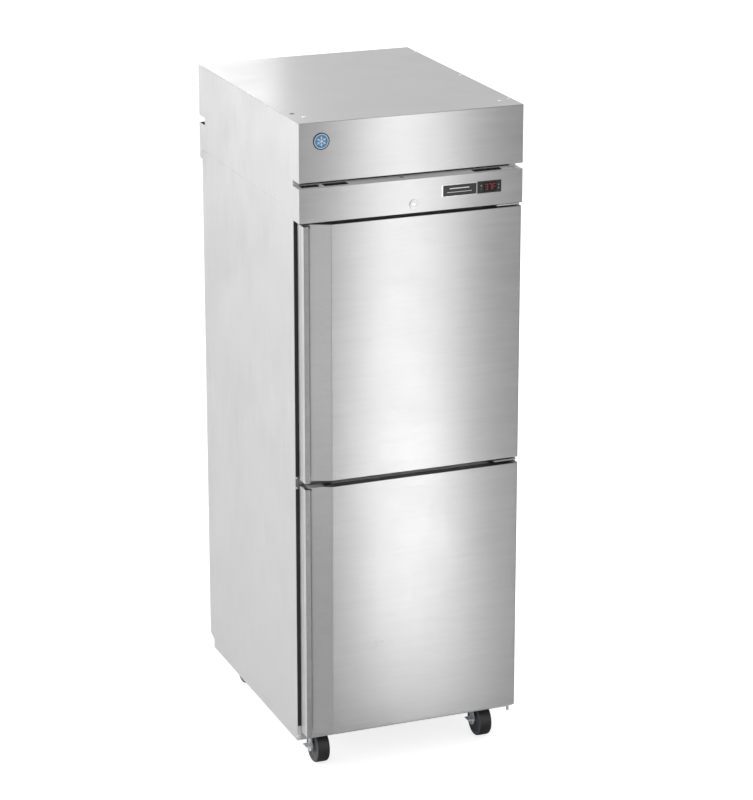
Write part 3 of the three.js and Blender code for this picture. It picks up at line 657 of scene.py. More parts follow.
FRAME_WIRE = 3.2 * MM  # radius of the shelf frame
THIN_WIRE = 1.6 * MM
SHELF_WIRES = 21
for level in ("lower", "middle", "upper"):
    low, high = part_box(f"shelf_{level}")
    rail_z = high.z - 2 * THIN_WIRE - FRAME_WIRE
    corners = [
        Vector((x, y, rail_z))
        for x, y in (
            (low.x + FRAME_WIRE, low.y + FRAME_WIRE), (high.x - FRAME_WIRE, low.y + FRAME_WIRE),
            (high.x - FRAME_WIRE, high.y - FRAME_WIRE), (low.x + FRAME_WIRE, high.y - FRAME_WIRE),
        )
    ]
    wires = [bar("wire", corners[i], corners[(i + 1) % 4], FRAME_WIRE, 12) for i in range(4)]
    for corner in corners:
        bpy.ops.object.select_all(action="DESELECT")
        bpy.ops.mesh.primitive_uv_sphere_add(
            segments=12, ring_count=8, radius=FRAME_WIRE, location=corner
        )
        bpy.ops.object.transform_apply(location=True, rotation=True, scale=True)
        wires.append(bpy.context.active_object)
    for across in (0.27, 0.5, 0.73):
        y = low.y + (high.y - low.y) * across
        wires.append(bar(
            "wire", (low.x + FRAME_WIRE, y, rail_z), (high.x - FRAME_WIRE, y, rail_z),
            0.7 * FRAME_WIRE, 10,
        ))
    for step in range(SHELF_WIRES):
        x = low.x + (high.x - low.x) * (step + 1) / (SHELF_WIRES + 1)
        z = high.z - THIN_WIRE
        wires.append(bar("wire", (x, low.y + 1 * MM, z), (x, high.y - 1 * MM, z), THIN_WIRE, 8))
    shelf = fair(joined(f"wire_shelf_{level}", wires), 60)
    dress(shelf, coated_wire, "cabinet", "shelf_wire", f"shelf_{level}")

# ---------------------------------------------------------------- doors
# Each door is a brushed tray folded round the front, with the left side sloped back into a pull;
# a hooked lip closes the pull, and a stamped inner panel carries a magnetic gasket.

# A darker copy of the front steel for the lip's front face: painted shade, where the fronts' highlight
# falls off at the door's left edge.
lip_steel_painted_shade = brushed("brushed_steel_lip_painted_shade", 0.35, 0.40, (14, 320, 320), 0.34, 0.6, "Z")
door_rubber = mottled(
    "gasket_rubber", (0.016, 0.016, 0.017), (0.028, 0.028, 0.030), 900, 0.62, 0.0, 0.15
)
LIP_WIDTH = 16 * MM


def on_front(a, b):
    return abs(a.y - FACE) < BURR and abs(b.y - FACE) < BURR


for door in ("upper", "lower"):
    body = f"{door}_door"
    low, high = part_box(f"{door}_door_skin")
    grip_low, grip_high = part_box(f"{door}_door_grip")
    tray = remade(f"{door}_door_skin", f"{door}_door_tray", [
        (1.4 * MM, 3, on_front, 12),
        (BURR, 1, lambda a, b: abs(a.z - b.z) < BURR and min(a.y, b.y) > FACE + 3 * MM, 40),
    ], front_steel, "brushed_steel", body, 30)
    # The tray's upward faces, in the shaded gaps above each door, take the dull zinc as painted shade.
    repaint(tray, dull_zinc_and_painted_shade, lambda m, n: n.z > 0.9)

    pull = remade(
        f"{door}_door_grip", f"{door}_door_pull", [(0.9 * MM, 3)], front_steel, "brushed_steel", body
    )
    repaint(pull, side_satin, lambda m, n: n.x < -0.9)
    # The lip's front takes the darker copy of the steel as painted shade.
    repaint(pull, lip_steel_painted_shade, lambda m, n: n.y < -0.9 and m.x < grip_low.x + LIP_WIDTH + 1 * MM)

    seam = block(
        f"{door}_door_side_seam",
        (grip_low.x - 0.06 * MM, FACE + 21.5 * MM, low.z + 1 * MM),
        (grip_low.x + 0.2 * MM, FACE + 22.8 * MM, high.z - 1 * MM),
    )
    dress(seam, dull_zinc_and_painted_shade, body, "zinc_steel")
    laid(
        f"{door}_door_edging",
        (grip_low.x, grip_high.y + 2.7 * MM, low.z + 2 * MM),
        (grip_low.x + 1.2 * MM, grip_high.y + 8.2 * MM, high.z - 2 * MM),
        [(0.3 * MM, 1)], side_satin, "liner_steel", body,
    )

    plugs = []
    for start, length in ((grip_low.x + 2.7 * MM, 4.3 * MM), (grip_high.x + 0.5 * MM, 4.5 * MM)):
        plug = block(
            "plug", (start, FACE + 3 * MM, high.z - 6 * MM),
            (start + length, FACE + 12 * MM, high.z - 0.4 * MM),
        )
        plugs.append(ease(plug, 1.2 * MM, 2))
    dress(fair(joined(f"{door}_pull_end_plugs", plugs)), black_moulding, body, "black_plastic")

    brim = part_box(f"{door}_door_liner")[1].y
    panel = remade(f"{door}_door_liner", f"{door}_door_inner_panel", [
        (5 * MM, 4, lambda a, b: min(a.y, b.y) > brim - BURR),
        (0.6 * MM, 2, lambda a, b: max(a.y, b.y) < brim - 9 * MM),
    ], liner_steel, "liner_steel", body)
    repaint(panel, side_satin, lambda m, n: n.z > 0.9)

    gasket = from_frame(f"{door}_door_gasket", f"{door}_door_seal")
    choose_faces(gasket, lambda m, n: n.y > 0.9)
    bpy.ops.mesh.inset(thickness=5 * MM, depth=-1.6 * MM)
    bpy.ops.object.mode_set(mode="OBJECT")
    ease(gasket, 1.4 * MM, 3)
    fair(gasket)
    dress(gasket, door_rubber, body, "gasket_rubber", f"{door}_door_gasket")

    refinish(f"{door}_hinge_cartridge", black_moulding)

# ---------------------------------------------------------------- hinges
# Zinc plated cam-rise brackets are screwed to the face frame; a pin on each stands in the
# spring cartridge at the foot of a door or in the bush at its head.

hinge_zinc = mottled("hinge_zinc", (0.60, 0.61, 0.62), (0.74, 0.75, 0.76), 160, 0.42, 0.6, 0.05)
# A darker copy of the hinge zinc: painted shade for the parts in the gap between the doors.
hinge_painted_shade = mottled(
    "hinge_zinc_painted_shade", (0.28, 0.285, 0.29), (0.38, 0.385, 0.39), 160, 0.45, 0.7, 0.05
)
# The middle bracket, in the gap between the doors, takes the darker copy as painted shade.
for place in ("top", "middle", "bottom"):
    low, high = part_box(f"hinge_bracket_{place}")
    remade(f"hinge_bracket_{place}", f"hinge_{place}", [
        (6 * MM, 4, lambda a, b: (
            max(a.y, b.y) < low.y + BURR and abs(a.x - b.x) < BURR and abs(a.z - b.z) > 2 * MM
        ), 60),
        (0.5 * MM, 2, lambda a, b: True, 60),
    ], hinge_painted_shade if place == "middle" else hinge_zinc, "zinc_steel")

leaf_top = {"top": 1721.4 * MM, "middle": 927 * MM, "bottom": 121.5 * MM}
fixings = []
holes = []
for top in leaf_top.values():
    for x in (281 * MM, 306 * MM):
        fixings.append(screw_head(
            "fixing", (x, CABINET_FRONT - 16 * MM, top), (0, 0, 1), 4 * MM, 1.5 * MM
        ))
    # Each hole in a leaf is a thin black disc, painted shade for the opening.
    hole = Vector((324 * MM, FACE + 18 * MM, top))
    holes.append(bar(
        "hole", hole - Vector((0, 0, 0.2 * MM)), hole + Vector((0, 0, 0.05 * MM)), 3 * MM, 20
    ))
dress(fair(joined("hinge_screws", fixings)), bright_screw, "cabinet", "zinc_steel")
dress(joined("hinge_leaf_holes", holes), gap_painted_shade, "cabinet", "zinc_steel")

# The pull of the lower door is closed at its head by a bright end plate, and beside it a black
# catch in a plated frame works the door switch.

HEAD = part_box("lower_door_skin")[1].z
laid(
    "pull_end_plate", (-321 * MM, FACE + 9 * MM, HEAD), (-274 * MM, FACE + 41 * MM, HEAD + 0.8 * MM),
    [
        (4 * MM, 3, lambda a, b: abs(a.z - b.z) > 0.5 * MM),
        (0.25 * MM, 1, lambda a, b: min(a.z, b.z) > HEAD + 0.5 * MM),
    ], hinge_zinc, "zinc_steel", "lower_door",
)
trim = block(
    "lower_door_head_trim",
    (-240 * MM, FACE + 29 * MM, HEAD), (262 * MM, FACE + 41.8 * MM, HEAD + 0.3 * MM),
)
dress(trim, side_satin, "lower_door", "liner_steel")
# The catch's frame, in the same gap, takes the darker copy of the zinc as painted shade.
laid(
    "door_catch_frame",
    (-272 * MM, FACE + 12 * MM, HEAD), (-244 * MM, FACE + 40 * MM, HEAD + 0.6 * MM),
    [(0.2 * MM, 1, lambda a, b: min(a.z, b.z) > HEAD + 0.4 * MM)],
    hinge_painted_shade, "zinc_steel", "lower_door",
)
laid(
    "door_catch",
    (-268 * MM, FACE + 16 * MM, HEAD + 0.4 * MM), (-248 * MM, FACE + 36 * MM, HEAD + 2.4 * MM),
    [(0.8 * MM, 2)], black_moulding, "black_plastic", "lower_door",
)

# ---------------------------------------------------------------- hood and control panel
# The hood over the machinery is folded from brushed sheet in panels that lift off: a top, a
# front, two cheeks and a rear cover. The control panel below it takes in air through its slit.

# A lighter, rougher copy of the brushed steel for the console's top in the intake slit: a painted
# reflection of light there.
slit_steel_painted_light = brushed("brushed_steel_slit_painted_light", 0.66, 0.76, (14, 320, 320), 0.55)
top_steel = brushed("brushed_steel_top", 0.485, 0.53, (24, 320, 320), 0.30, 0.75, "Y")

for side in ("left", "right"):
    remade(f"hood_side_{side}", f"hood_cheek_{side}", [
        (BEND, 3, at_corner),
        (SEAM, 2, lambda a, b: at_side(a, b) and max(a.z, b.z) < CABINET_TOP + 2 * BURR),
    ], side_satin, "side_steel")

TOP_DROP = 0.6 * MM  # screw heads reach this far above the top sheet
CAP_BACK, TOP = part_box("hood_top_panel")[1].yz


def lower_top(piece):
    """Set the top sheet of a piece down by the height of the screw heads."""
    choose_faces(piece, lambda m, n: n.z > 0.99 and m.z > TOP - BURR)
    bpy.ops.transform.translate(value=(0, 0, -TOP_DROP))
    bpy.ops.object.mode_set(mode="OBJECT")


def on_top(a, b):
    return min(a.z, b.z) > TOP - TOP_DROP - BURR


cap = from_frame("hood_top_panel", "hood_cap")
lower_top(cap)
ease(cap, 1.1 * MM, 2, lambda a, b: on_top(a, b) and min(a.y, b.y) > CAP_BACK - BURR)
ease(cap, 0.5 * MM, 2, lambda a, b: on_top(a, b) and min(a.y, b.y) < CAP_BACK - SHEET)
fair(cap)
dress(cap, top_steel, "cabinet", "brushed_steel", "hood_top_panel")

fascia = remade(
    "hood_front_panel", "hood_fascia", [(1.6 * MM, 3, on_front)], front_steel, "brushed_steel"
)
repaint(fascia, side_satin, lambda m, n: abs(n.x) > 0.9)

console_low, console_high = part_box("control_panel")


def console_outline(a, b):
    level = abs(a.z - b.z) < BURR and (
        abs(a.z - console_low.z) < BURR or abs(a.z - console_high.z) < BURR
    )
    return on_front(a, b) and (level or at_side(a, b))


console = remade(
    "control_panel", "control_console", [(1.6 * MM, 3, console_outline)],
    front_steel, "brushed_steel",
)
repaint(console, side_satin, lambda m, n: abs(n.x) > 0.9)
# The console's top in the slit takes the lighter copy as a painted reflection.
repaint(console, slit_steel_painted_light, lambda m, n: n.z > 0.9 and m.z > console_high.z - BURR)

cover_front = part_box("rear_hood_cover")[0].y
rear_cover = from_frame("rear_hood_cover", "hood_rear_cover")
lower_top(rear_cover)
ease(rear_cover, 1.0 * MM, 2, lambda a, b: (
    max(a.y, b.y) < cover_front + BURR and (at_side(a, b) or on_top(a, b))
))
fair(rear_cover)
dress(rear_cover, side_satin, "cabinet", "zinc_steel", "rear_hood_cover")
repaint(rear_cover, top_steel, lambda m, n: n.z > 0.9)

sunk = []
for x, y in ((-304, -369), (-343, -5), (345, 372), (340, -2), (304, -377), (339, -365)):
    reach = 4.2 if abs(x) > 338 else 5.8
    place = Vector((x * MM, y * MM, TOP - TOP_DROP))
    sunk.append(screw_head(
        "sunk", place, (0, 0, 1), reach * MM, TOP_DROP - 0.03 * MM, False
    ))
dress(fair(joined("hood_top_screws", sunk)), bright_screw, "cabinet", "chrome")

plug_at = Vector((-322 * MM, -319 * MM, TOP))
plug = bar(
    "hood_top_plug", plug_at - Vector((0, 0, 2 * TOP_DROP)), plug_at - Vector((0, 0, 0.3 * MM)),
    7.5 * MM,
)
ease(plug, 0.1 * MM, 1)
dress(fair(plug), black_moulding, "cabinet", "black_plastic")

cover_heads = []
REAR = cad_box[1][1] - 1.6 * MM
for x in (-0.31, -0.1, 0.1, 0.31):
    for z in (TOP - 14 * MM, 1.735):
        cover_heads.append(screw_head("head", (x, REAR, z), (0, 1, 0), 4 * MM, 1.5 * MM))
dress(fair(joined("rear_cover_screws", cover_heads)), bright_screw, "cabinet", "zinc_steel")

slit_heads = []
for x in (-286, -280, -25, -19, 229, 235):
    slit_heads.append(screw_head(
        "head", (x * MM, FACE + 30 * MM, console_high.z), (0, 0, 1), 2.6 * MM, 2.4 * MM
    ))
dress(fair(joined("intake_slit_screws", slit_heads)), black_moulding, "cabinet", "black_plastic")

# A fine washable mesh lies under each intake in the slit.
strands = []
WEAVE = 4  # mm between strands
mesh_top = console_high.z - 3 * MM
for x0, x1 in ((-335, -281), (-265.7, -191.5), (200.3, 290.7)):
    count = int((x1 - x0) / WEAVE)
    for step in range(count + 1):
        x = (x0 + step * (x1 - x0) / count) * MM
        strands.append(((x, FACE + 13 * MM, mesh_top), (x, FACE + 45 * MM, mesh_top)))
    for step in range(9):
        y = FACE + (13 + step * WEAVE) * MM
        under = mesh_top - 0.5 * MM
        strands.append(((x0 * MM, y, under), (x1 * MM, y, under)))
weave = joined("intake_mesh", [bar("strand", *ends, 0.35 * MM, 6) for ends in strands])
dress(weave, black_moulding, "cabinet", "black_plastic")

# ---------------------------------------------------------------- gland
# A black nylon strain relief in the lower flange of the rear cover, where the supply cord leaves.

CUT = (0.5 * MM, 2, lambda a, b: True, 50)
remade("power_cord_gland", "supply_gland", [CUT], black_moulding, "black_plastic")

# ---------------------------------------------------------------- badge and name plate
# A small enamelled badge is stuck to the hood front, and a dark plate in a thin bright frame sits
# beside the controller. Both carry a plain ornament only.

enamel_navy = mottled("navy_enamel", (0.012, 0.024, 0.085), (0.020, 0.036, 0.110), 500, 0.25, 0.0, 0.04)
enamel_blue = mottled("blue_enamel", (0.05, 0.25, 0.50), (0.07, 0.30, 0.56), 500, 0.25, 0.0, 0.04)
enamel_white = mottled("white_enamel", (0.78, 0.79, 0.80), (0.86, 0.87, 0.88), 500, 0.3, 0.0, 0.04)
charcoal = mottled("charcoal_plate", (0.018, 0.018, 0.019), (0.028, 0.028, 0.030), 900, 0.35, 0.0, 0.1)

BADGE = Vector((-281 * MM, FACE, 1962.5 * MM))
FORWARD = Vector((0, -1, 0))


def disc(name, centre, radius, back, front, finish, edge=0.3 * MM):
    """A flat coin that faces the front, between two distances in front of its centre."""
    coin = bar(name, centre + FORWARD * back, centre + FORWARD * front, radius, 64)
    ease(coin, edge, 2, lambda a, b: max(a.y, b.y) < centre.y - front + BURR * 0.3)
    fair(coin)
    return dress(coin, finish, "cabinet", "black_plastic")


disc("badge_rim", BADGE, 25.0 * MM, 0, 1.6 * MM, enamel_navy)
disc("badge_band", BADGE, 21.5 * MM, 1.55 * MM, 1.75 * MM, enamel_white, 0.1 * MM)
disc("badge_field", BADGE, 19.5 * MM, 1.7 * MM, 1.9 * MM, enamel_blue, 0.1 * MM)
arms = []
STAR_AT = BADGE + FORWARD * 1.95 * MM
for turn in range(3):
    angle = math.radians(30 + 60 * turn)
    way = Vector((math.cos(angle), 0, math.sin(angle)))
    arms.append(bar("arm", STAR_AT - way * 15 * MM, STAR_AT + way * 15 * MM, 1.0 * MM, 8))
    for end in (-1, 1):
        root = STAR_AT + way * end * 8 * MM
        for lean in (-50, 50):
            twig = Matrix.Rotation(math.radians(lean), 3, "Y") @ (way * end)
            arms.append(bar("arm", root, root + twig * 5 * MM, 0.8 * MM, 8))
star = joined("badge_star", arms)
only(star)
bpy.ops.object.mode_set(mode="EDIT")
bpy.ops.mesh.select_all(action="SELECT")
bpy.ops.transform.resize(value=(1, 0.35, 1), center_override=STAR_AT)
bpy.ops.object.mode_set(mode="OBJECT")
dress(fair(star), enamel_white, "cabinet", "black_plastic")

laid(
    "name_plate",
    (91 * MM, FACE - 0.9 * MM, 1763.6 * MM), (203.3 * MM, FACE - 0.02 * MM, 1798.9 * MM),
    [
        (1.2 * MM, 3, lambda a, b: abs(a.y - b.y) > 0.5 * MM),
        (0.3 * MM, 2, lambda a, b: max(a.y, b.y) < FACE - 0.8 * MM),
    ], bright_screw, "chrome",
)
inlay = block(
    "name_plate_inlay",
    (95.6 * MM, FACE - 1.1 * MM, 1764.9 * MM), (201.6 * MM, FACE - 0.4 * MM, 1797.7 * MM),
)
dress(inlay, charcoal, "cabinet", "black_plastic")
lines = []
PLATE_MIDDLE = 147.5
for low, high, width in ((1785.6, 1788.4, 62), (1775.2, 1776.6, 78)):
    lines.append(block(
        "line",
        ((PLATE_MIDDLE - width / 2) * MM, FACE - 1.2 * MM, low * MM),
        ((PLATE_MIDDLE + width / 2) * MM, FACE - 1.05 * MM, high * MM),
    ))
dress(joined("name_plate_lines", lines), enamel_white, "cabinet", "black_plastic")

# ---------------------------------------------------------------- controller
# A moulded black thermostat clips into the control panel: a window with a red three-figure
# readout, and two keys at each side of it.

window_glass = mottled("dark_window", (0.006, 0.006, 0.007), (0.009, 0.009, 0.010), 800, 0.08, 0.0, 0.02)


def glowing(name, colour, strength):
    """A lit surface that is slightly uneven, like a diffused lamp."""
    material = mottled(name, [0.4 * c for c in colour], [0.5 * c for c in colour], 900, 0.4, 0.0, 0.05)
    tree = material.node_tree
    shader = next(node for node in tree.nodes if node.type == "BSDF_PRINCIPLED")
    place = put(tree, "ShaderNodeTexCoord").outputs["Object"]
    uneven = put(tree, "ShaderNodeTexNoise", {"Vector": place, "Scale": 400.0})
    glow = put(tree, "ShaderNodeMapRange", {
        "Value": uneven.outputs["Fac"], "To Min": strength * 0.85, "To Max": strength * 1.1,
    })
    tree.links.new(glow.outputs["Result"], shader.inputs["Emission Strength"])
    shader.inputs["Emission Color"].default_value = (*colour, 1)
    return material


red_segment = glowing("red_segment", (0.62, 0.05, 0.05), 0.15)

bezel_low, bezel_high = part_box("controller_housing")


def on_bezel_rim(point):
    return point.y < bezel_low.y + BURR and min(
        abs(point.x - bezel_low.x), abs(point.x - bezel_high.x),
        abs(point.z - bezel_low.z), abs(point.z - bezel_high.z),
    ) < BURR


remade("controller_housing", "controller_bezel", [
    (0.7 * MM, 3, lambda a, b: on_bezel_rim(a) and on_bezel_rim(b)),
], black_moulding, "black_plastic")
window = block(
    "controller_window",
    (222.5 * MM, FACE - 2.32 * MM, 1768 * MM), (264.5 * MM, FACE - 2.15 * MM, 1796.5 * MM),
)
ease(window, 0.06 * MM, 1)
dress(window, window_glass, "cabinet", "black_plastic")

SEGMENTS = {"3": "abcdg", "7": "abc", "F": "aefg"}
DIGIT_WIDTH, DIGIT_HEIGHT, STROKE = 9.6 * MM, 18.0 * MM, 1.5 * MM


def figure(left, bottom, shown):
    """The lit bars of one seven-segment figure."""
    lit = []
    middle = bottom + DIGIT_HEIGHT / 2
    top = bottom + DIGIT_HEIGHT
    right = left + DIGIT_WIDTH
    half = STROKE / 2
    spans = {
        "a": ((left + half, top - STROKE), (right - half, top)),
        "g": ((left + half, middle - half), (right - half, middle + half)),
        "d": ((left + half, bottom), (right - half, bottom + STROKE)),
        "f": ((left, middle + 0.3 * MM), (left + STROKE, top - half)),
        "b": ((right - STROKE, middle + 0.3 * MM), (right, top - half)),
        "e": ((left, bottom + half), (left + STROKE, middle - 0.3 * MM)),
        "c": ((right - STROKE, bottom + half), (right, middle - 0.3 * MM)),
    }
    for segment in shown:
        (x0, z0), (x1, z1) = spans[segment]
        lit.append(block("segment", (x0, FACE - 2.4 * MM, z0), (x1, FACE - 2.3 * MM, z1)))
    return lit


segments = []
for index, shown in enumerate(("3", "7", "F")):
    segments += figure((227.5 + index * 12.2) * MM, 1773.3 * MM, SEGMENTS[shown])
dress(joined("controller_figures", segments), red_segment, "cabinet", "black_plastic")

KEY_PLACES = {"set": (216, 1787), "defrost": (216, 1777), "up": (271, 1787), "down": (271, 1777)}
for key, (x, z) in KEY_PLACES.items():
    cap_piece = from_frame(f"key_{key}", f"keycap_{key}")
    key_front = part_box(f"key_{key}")[0].y
    choose_faces(cap_piece, lambda m, n: n.y < -0.9 and m.y < key_front + 0.1 * MM)
    bpy.ops.transform.translate(value=(0, 0.15 * MM, 0))
    bpy.ops.object.mode_set(mode="OBJECT")
    ease(cap_piece, 0.35 * MM, 2, lambda a, b: max(a.y, b.y) < key_front + 0.3 * MM)
    fair(cap_piece)
    dress(cap_piece, charcoal, f"key_{key}", "black_plastic", f"key_{key}")
    at = Vector((x * MM, key_front + 0.16 * MM, z * MM))
    ink = FORWARD * 0.05 * MM  # middle of the printed film
    signs = []
    if key in ("up", "down"):
        arrow = bar("arrow", at, at + 2 * ink, 1.7 * MM, 3)
        heights = [point.co.z - at.z for point in arrow.data.vertices]
        points_up = max(heights) > -min(heights)
        if points_up != (key == "up"):
            only(arrow)
            bpy.ops.object.mode_set(mode="EDIT")
            bpy.ops.mesh.select_all(action="SELECT")
            bpy.ops.transform.rotate(value=math.pi, orient_axis="Y", center_override=at)
            bpy.ops.object.mode_set(mode="OBJECT")
        signs.append(arrow)
    elif key == "set":
        for low, high in ((0.5, 1.2), (-1.2, -0.5)):
            signs.append(block(
                "tick", at + Vector((-1.8, -0.1, low)) * MM, at + Vector((1.8, 0, high)) * MM
            ))
    else:
        for angle in (0, math.radians(60), math.radians(120)):
            way = Vector((math.cos(angle), 0, math.sin(angle))) * 1.8 * MM
            signs.append(bar("tick", at + ink - way, at + ink + way, 0.05 * MM, 6))
    dress(joined(f"key_{key}_sign", signs), enamel_white, f"key_{key}", "black_plastic")

# ---------------------------------------------------------------- lock
# A chromed cam lock holds the control panel shut; its key plug turns in the barrel.

chrome = mottled("bright_chrome", (0.80, 0.80, 0.81), (0.88, 0.88, 0.89), 200, 0.14, 1.0, 0.02)
satin_chrome = mottled("satin_chrome", (0.68, 0.68, 0.69), (0.76, 0.76, 0.77), 200, 0.3, 0.8, 0.02)
remade("lock_body", "lock_barrel", [
    (0.8 * MM, 3, lambda a, b: max(a.y, b.y) < FACE - 2 * MM, 40),
], satin_chrome, "chrome")
remade("lock_plug_and_cam", "lock_key_plug", [
    (0.4 * MM, 2, lambda a, b: max(a.y, b.y) < FACE - 1.5 * MM, 50),
], chrome, "chrome", "lock_plug")
# The keyway is a near-black block in the plug, painted shade for the slot.
keyway = block(
    "lock_keyway",
    (3.35 * MM, FACE + 2.6 * MM, 1747.3 * MM), (4.65 * MM, FACE + 4.9 * MM, 1755.1 * MM),
)
dress(keyway, gap_painted_shade, "lock_plug", "chrome")

# ---------------------------------------------------------------- evaporator
# The cooler hangs from the compartment's ceiling: a bright cover, a finned coil of copper tube,
# and a fan behind a round wire guard. A small lamp shines down in front of it.

copper = mottled("copper_tube", (0.62, 0.28, 0.16), (0.76, 0.38, 0.24), 90, 0.3, 1.0, 0.05)
fin_stock = mottled("aluminium_fins", (0.74, 0.75, 0.76), (0.84, 0.85, 0.86), 260, 0.4, 1.0, 0.15)

cooler_low, cooler_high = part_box("evaporator_housing")
remade("evaporator_housing", "cooler_cover", [
    (1.5 * MM, 3, lambda a, b: (
        abs(a.z - cooler_low.z) < BURR and abs(b.z - cooler_low.z) < BURR
        and (abs(abs(a.x) - cooler_high.x) < BURR and abs(abs(b.x) - cooler_high.x) < BURR
             or abs(a.y - cooler_low.y) < BURR and abs(b.y - cooler_low.y) < BURR)
    )),
], liner_steel, "liner_steel")


def wire(name, points, radius, closed=False, sides=4):
    """A round wire or tube bent through points, made from a bevelled curve."""
    bpy.ops.object.select_all(action="DESELECT")
    bpy.ops.curve.primitive_bezier_curve_add()
    curve = bpy.context.active_object
    curve.name = name
    curve.data.dimensions = "3D"
    curve.data.splines.clear()
    spline = curve.data.splines.new("POLY")
    spline.points.add(len(points) - 1)
    for point, place in zip(spline.points, points):
        point.co = (*place, 1)
    spline.use_cyclic_u = closed
    curve.data.bevel_depth = radius
    curve.data.bevel_resolution = sides
    curve.data.use_fill_caps = not closed
    only(curve)
    bpy.ops.object.convert(target="MESH")
    made = bpy.context.active_object
    bpy.ops.object.transform_apply(location=True, rotation=True, scale=True)
    bpy.ops.object.mode_set(mode="EDIT")
    bpy.ops.mesh.select_all(action="SELECT")
    bpy.ops.mesh.remove_doubles(threshold=0.001 * MM)
    bpy.ops.mesh.normals_make_consistent(inside=False)
    bpy.ops.object.mode_set(mode="OBJECT")
    return made


FAN_AT = Vector((0, -110 * MM, cooler_low.z))
GUARD_REACH = 100 * MM


def around_fan(angle, radius, drop):
    """A place under the fan: degrees round it, distance out from it and distance below it."""
    turn = math.radians(angle)
    return FAN_AT + Vector((radius * math.cos(turn), radius * math.sin(turn), -drop))


rings = []
for radius in (26, 48, 70, 92):
    loop = [around_fan(7.5 * step, radius * MM, 3 * MM) for step in range(48)]
    rings.append(wire("ring", loop, 1.1 * MM, True))
for step in range(8):
    angle = 45 * step + 22.5
    rings.append(bar(
        "spoke", around_fan(angle, 20 * MM, 4.6 * MM), around_fan(angle, GUARD_REACH, 4.6 * MM),
        1.3 * MM, 8,
    ))
    rings.append(bar(
        "foot", around_fan(angle, GUARD_REACH, 5.8 * MM), around_fan(angle, GUARD_REACH, 0),
        3 * MM, 12,
    ))
dress(fair(joined("cooler_fan_guard", rings), 60), chrome, "cabinet", "chrome")
remade(
    "evaporator_fan", "cooler_fan", [(0.4 * MM, 2, lambda a, b: True, 50)],
    black_moulding, "black_plastic", "evaporator_fan", 50,
)


FIN_HALF = 0.12 * MM  # half the thickness of a fin


def fin_pack(name, low, high, pitch, tubes, node):
    """A finned coil: thin fins across copper tubes that are joined by return bends."""
    stack = []
    width = high.x - low.x - 16 * MM
    count = int(width / pitch)
    for step in range(count + 1):
        x = low.x + 8 * MM + width * step / count
        stack.append(block(
            "fin", (x - FIN_HALF, low.y + 1 * MM, low.z + 1 * MM),
            (x + FIN_HALF, high.y - 1 * MM, high.z - 1 * MM),
        ))
    for x in (low.x + 6.6 * MM, high.x - 6.6 * MM):
        stack.append(block("end", (x - 0.6 * MM, low.y, low.z), (x + 0.6 * MM, high.y, high.z)))
    dress(joined(name, stack), fin_stock, "cabinet", "aluminium", node)
    rods = []
    for y, z in tubes:
        rods.append(bar("tube", (low.x + 4 * MM, y, z), (high.x - 4 * MM, y, z), 4 * MM, 16))
    for (y0, z0), (y1, z1) in zip(tubes, tubes[1:]):
        end = high.x - 4 * MM if len(rods) % 2 else low.x + 4 * MM
        out = 3.5 * MM if end > 0 else -3.5 * MM
        rods.append(wire("bend", [
            (end, y0, z0), (end + out * 0.7, y0 * 0.9 + y1 * 0.1, z0 * 0.9 + z1 * 0.1),
            (end + out, (y0 + y1) / 2, (z0 + z1) / 2),
            (end + out * 0.7, y0 * 0.1 + y1 * 0.9, z0 * 0.1 + z1 * 0.9), (end, y1, z1),
        ], 3.4 * MM))
    tubes_piece = fair(joined(f"{name}_tubes", rods), 60)
    return dress(tubes_piece, copper, "cabinet", "aluminium")


low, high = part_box("evaporator_coil")
fin_pack(
    "cooler_coil", low, high, 5 * MM,
    [(low.y + (25 + 38 * step) * MM, low.z + (30 if step % 2 else 100) * MM) for step in range(6)],
    "evaporator_coil",
)

lamp_glow = glowing("lamp_lens", (1.0, 0.97, 0.90), 1.2)
laid(
    "cabinet_lamp",
    (-90 * MM, -318 * MM, ROOM_CEILING - 14 * MM), (90 * MM, -286 * MM, ROOM_CEILING - 0.1 * MM),
    [(5 * MM, 4, lambda a, b: min(a.z, b.z) < ROOM_CEILING - 10 * MM)],
    lamp_glow, "black_plastic",
)

# ---------------------------------------------------------------- machinery under the hood
# A hermetic compressor in black enamel, a finned condenser with its fan and motor, the copper
# lines between them and a plated wiring box, all screwed to the cabinet's top panel.

black_enamel = mottled(
    "black_enamel", (0.012, 0.012, 0.013), (0.020, 0.020, 0.021), 350, 0.32, 0.0, 0.25
)


def turned(name, profile, centre, axis, steps=48):
    """A body of revolution: a profile of (radius, distance along the axis) spun about the axis."""
    axis = Vector(axis)
    centre = Vector(centre)
    side = axis.orthogonal().normalized()
    places = [centre + side * radius + axis * along for radius, along in profile]
    bpy.ops.object.select_all(action="DESELECT")
    bpy.ops.mesh.primitive_plane_add(size=1 * MM, location=places[0])
    piece = bpy.context.active_object
    piece.name = name
    bpy.ops.object.transform_apply(location=True, rotation=True, scale=True)
    bpy.ops.object.mode_set(mode="EDIT")
    bpy.ops.mesh.select_mode(type="VERT")
    bpy.ops.mesh.select_all(action="SELECT")
    bpy.ops.mesh.merge(type="CENTER")
    for here, there in zip(places, places[1:]):
        bpy.ops.mesh.extrude_vertices_move(TRANSFORM_OT_translate={"value": there - here})
    bpy.ops.mesh.select_all(action="SELECT")
    bpy.ops.mesh.spin(steps=steps, angle=2 * math.pi, center=centre, axis=axis)
    bpy.ops.mesh.select_all(action="SELECT")
    bpy.ops.mesh.remove_doubles(threshold=0.005 * MM)
    bpy.ops.mesh.normals_make_consistent(inside=False)
    bpy.ops.object.mode_set(mode="OBJECT")
    return piece


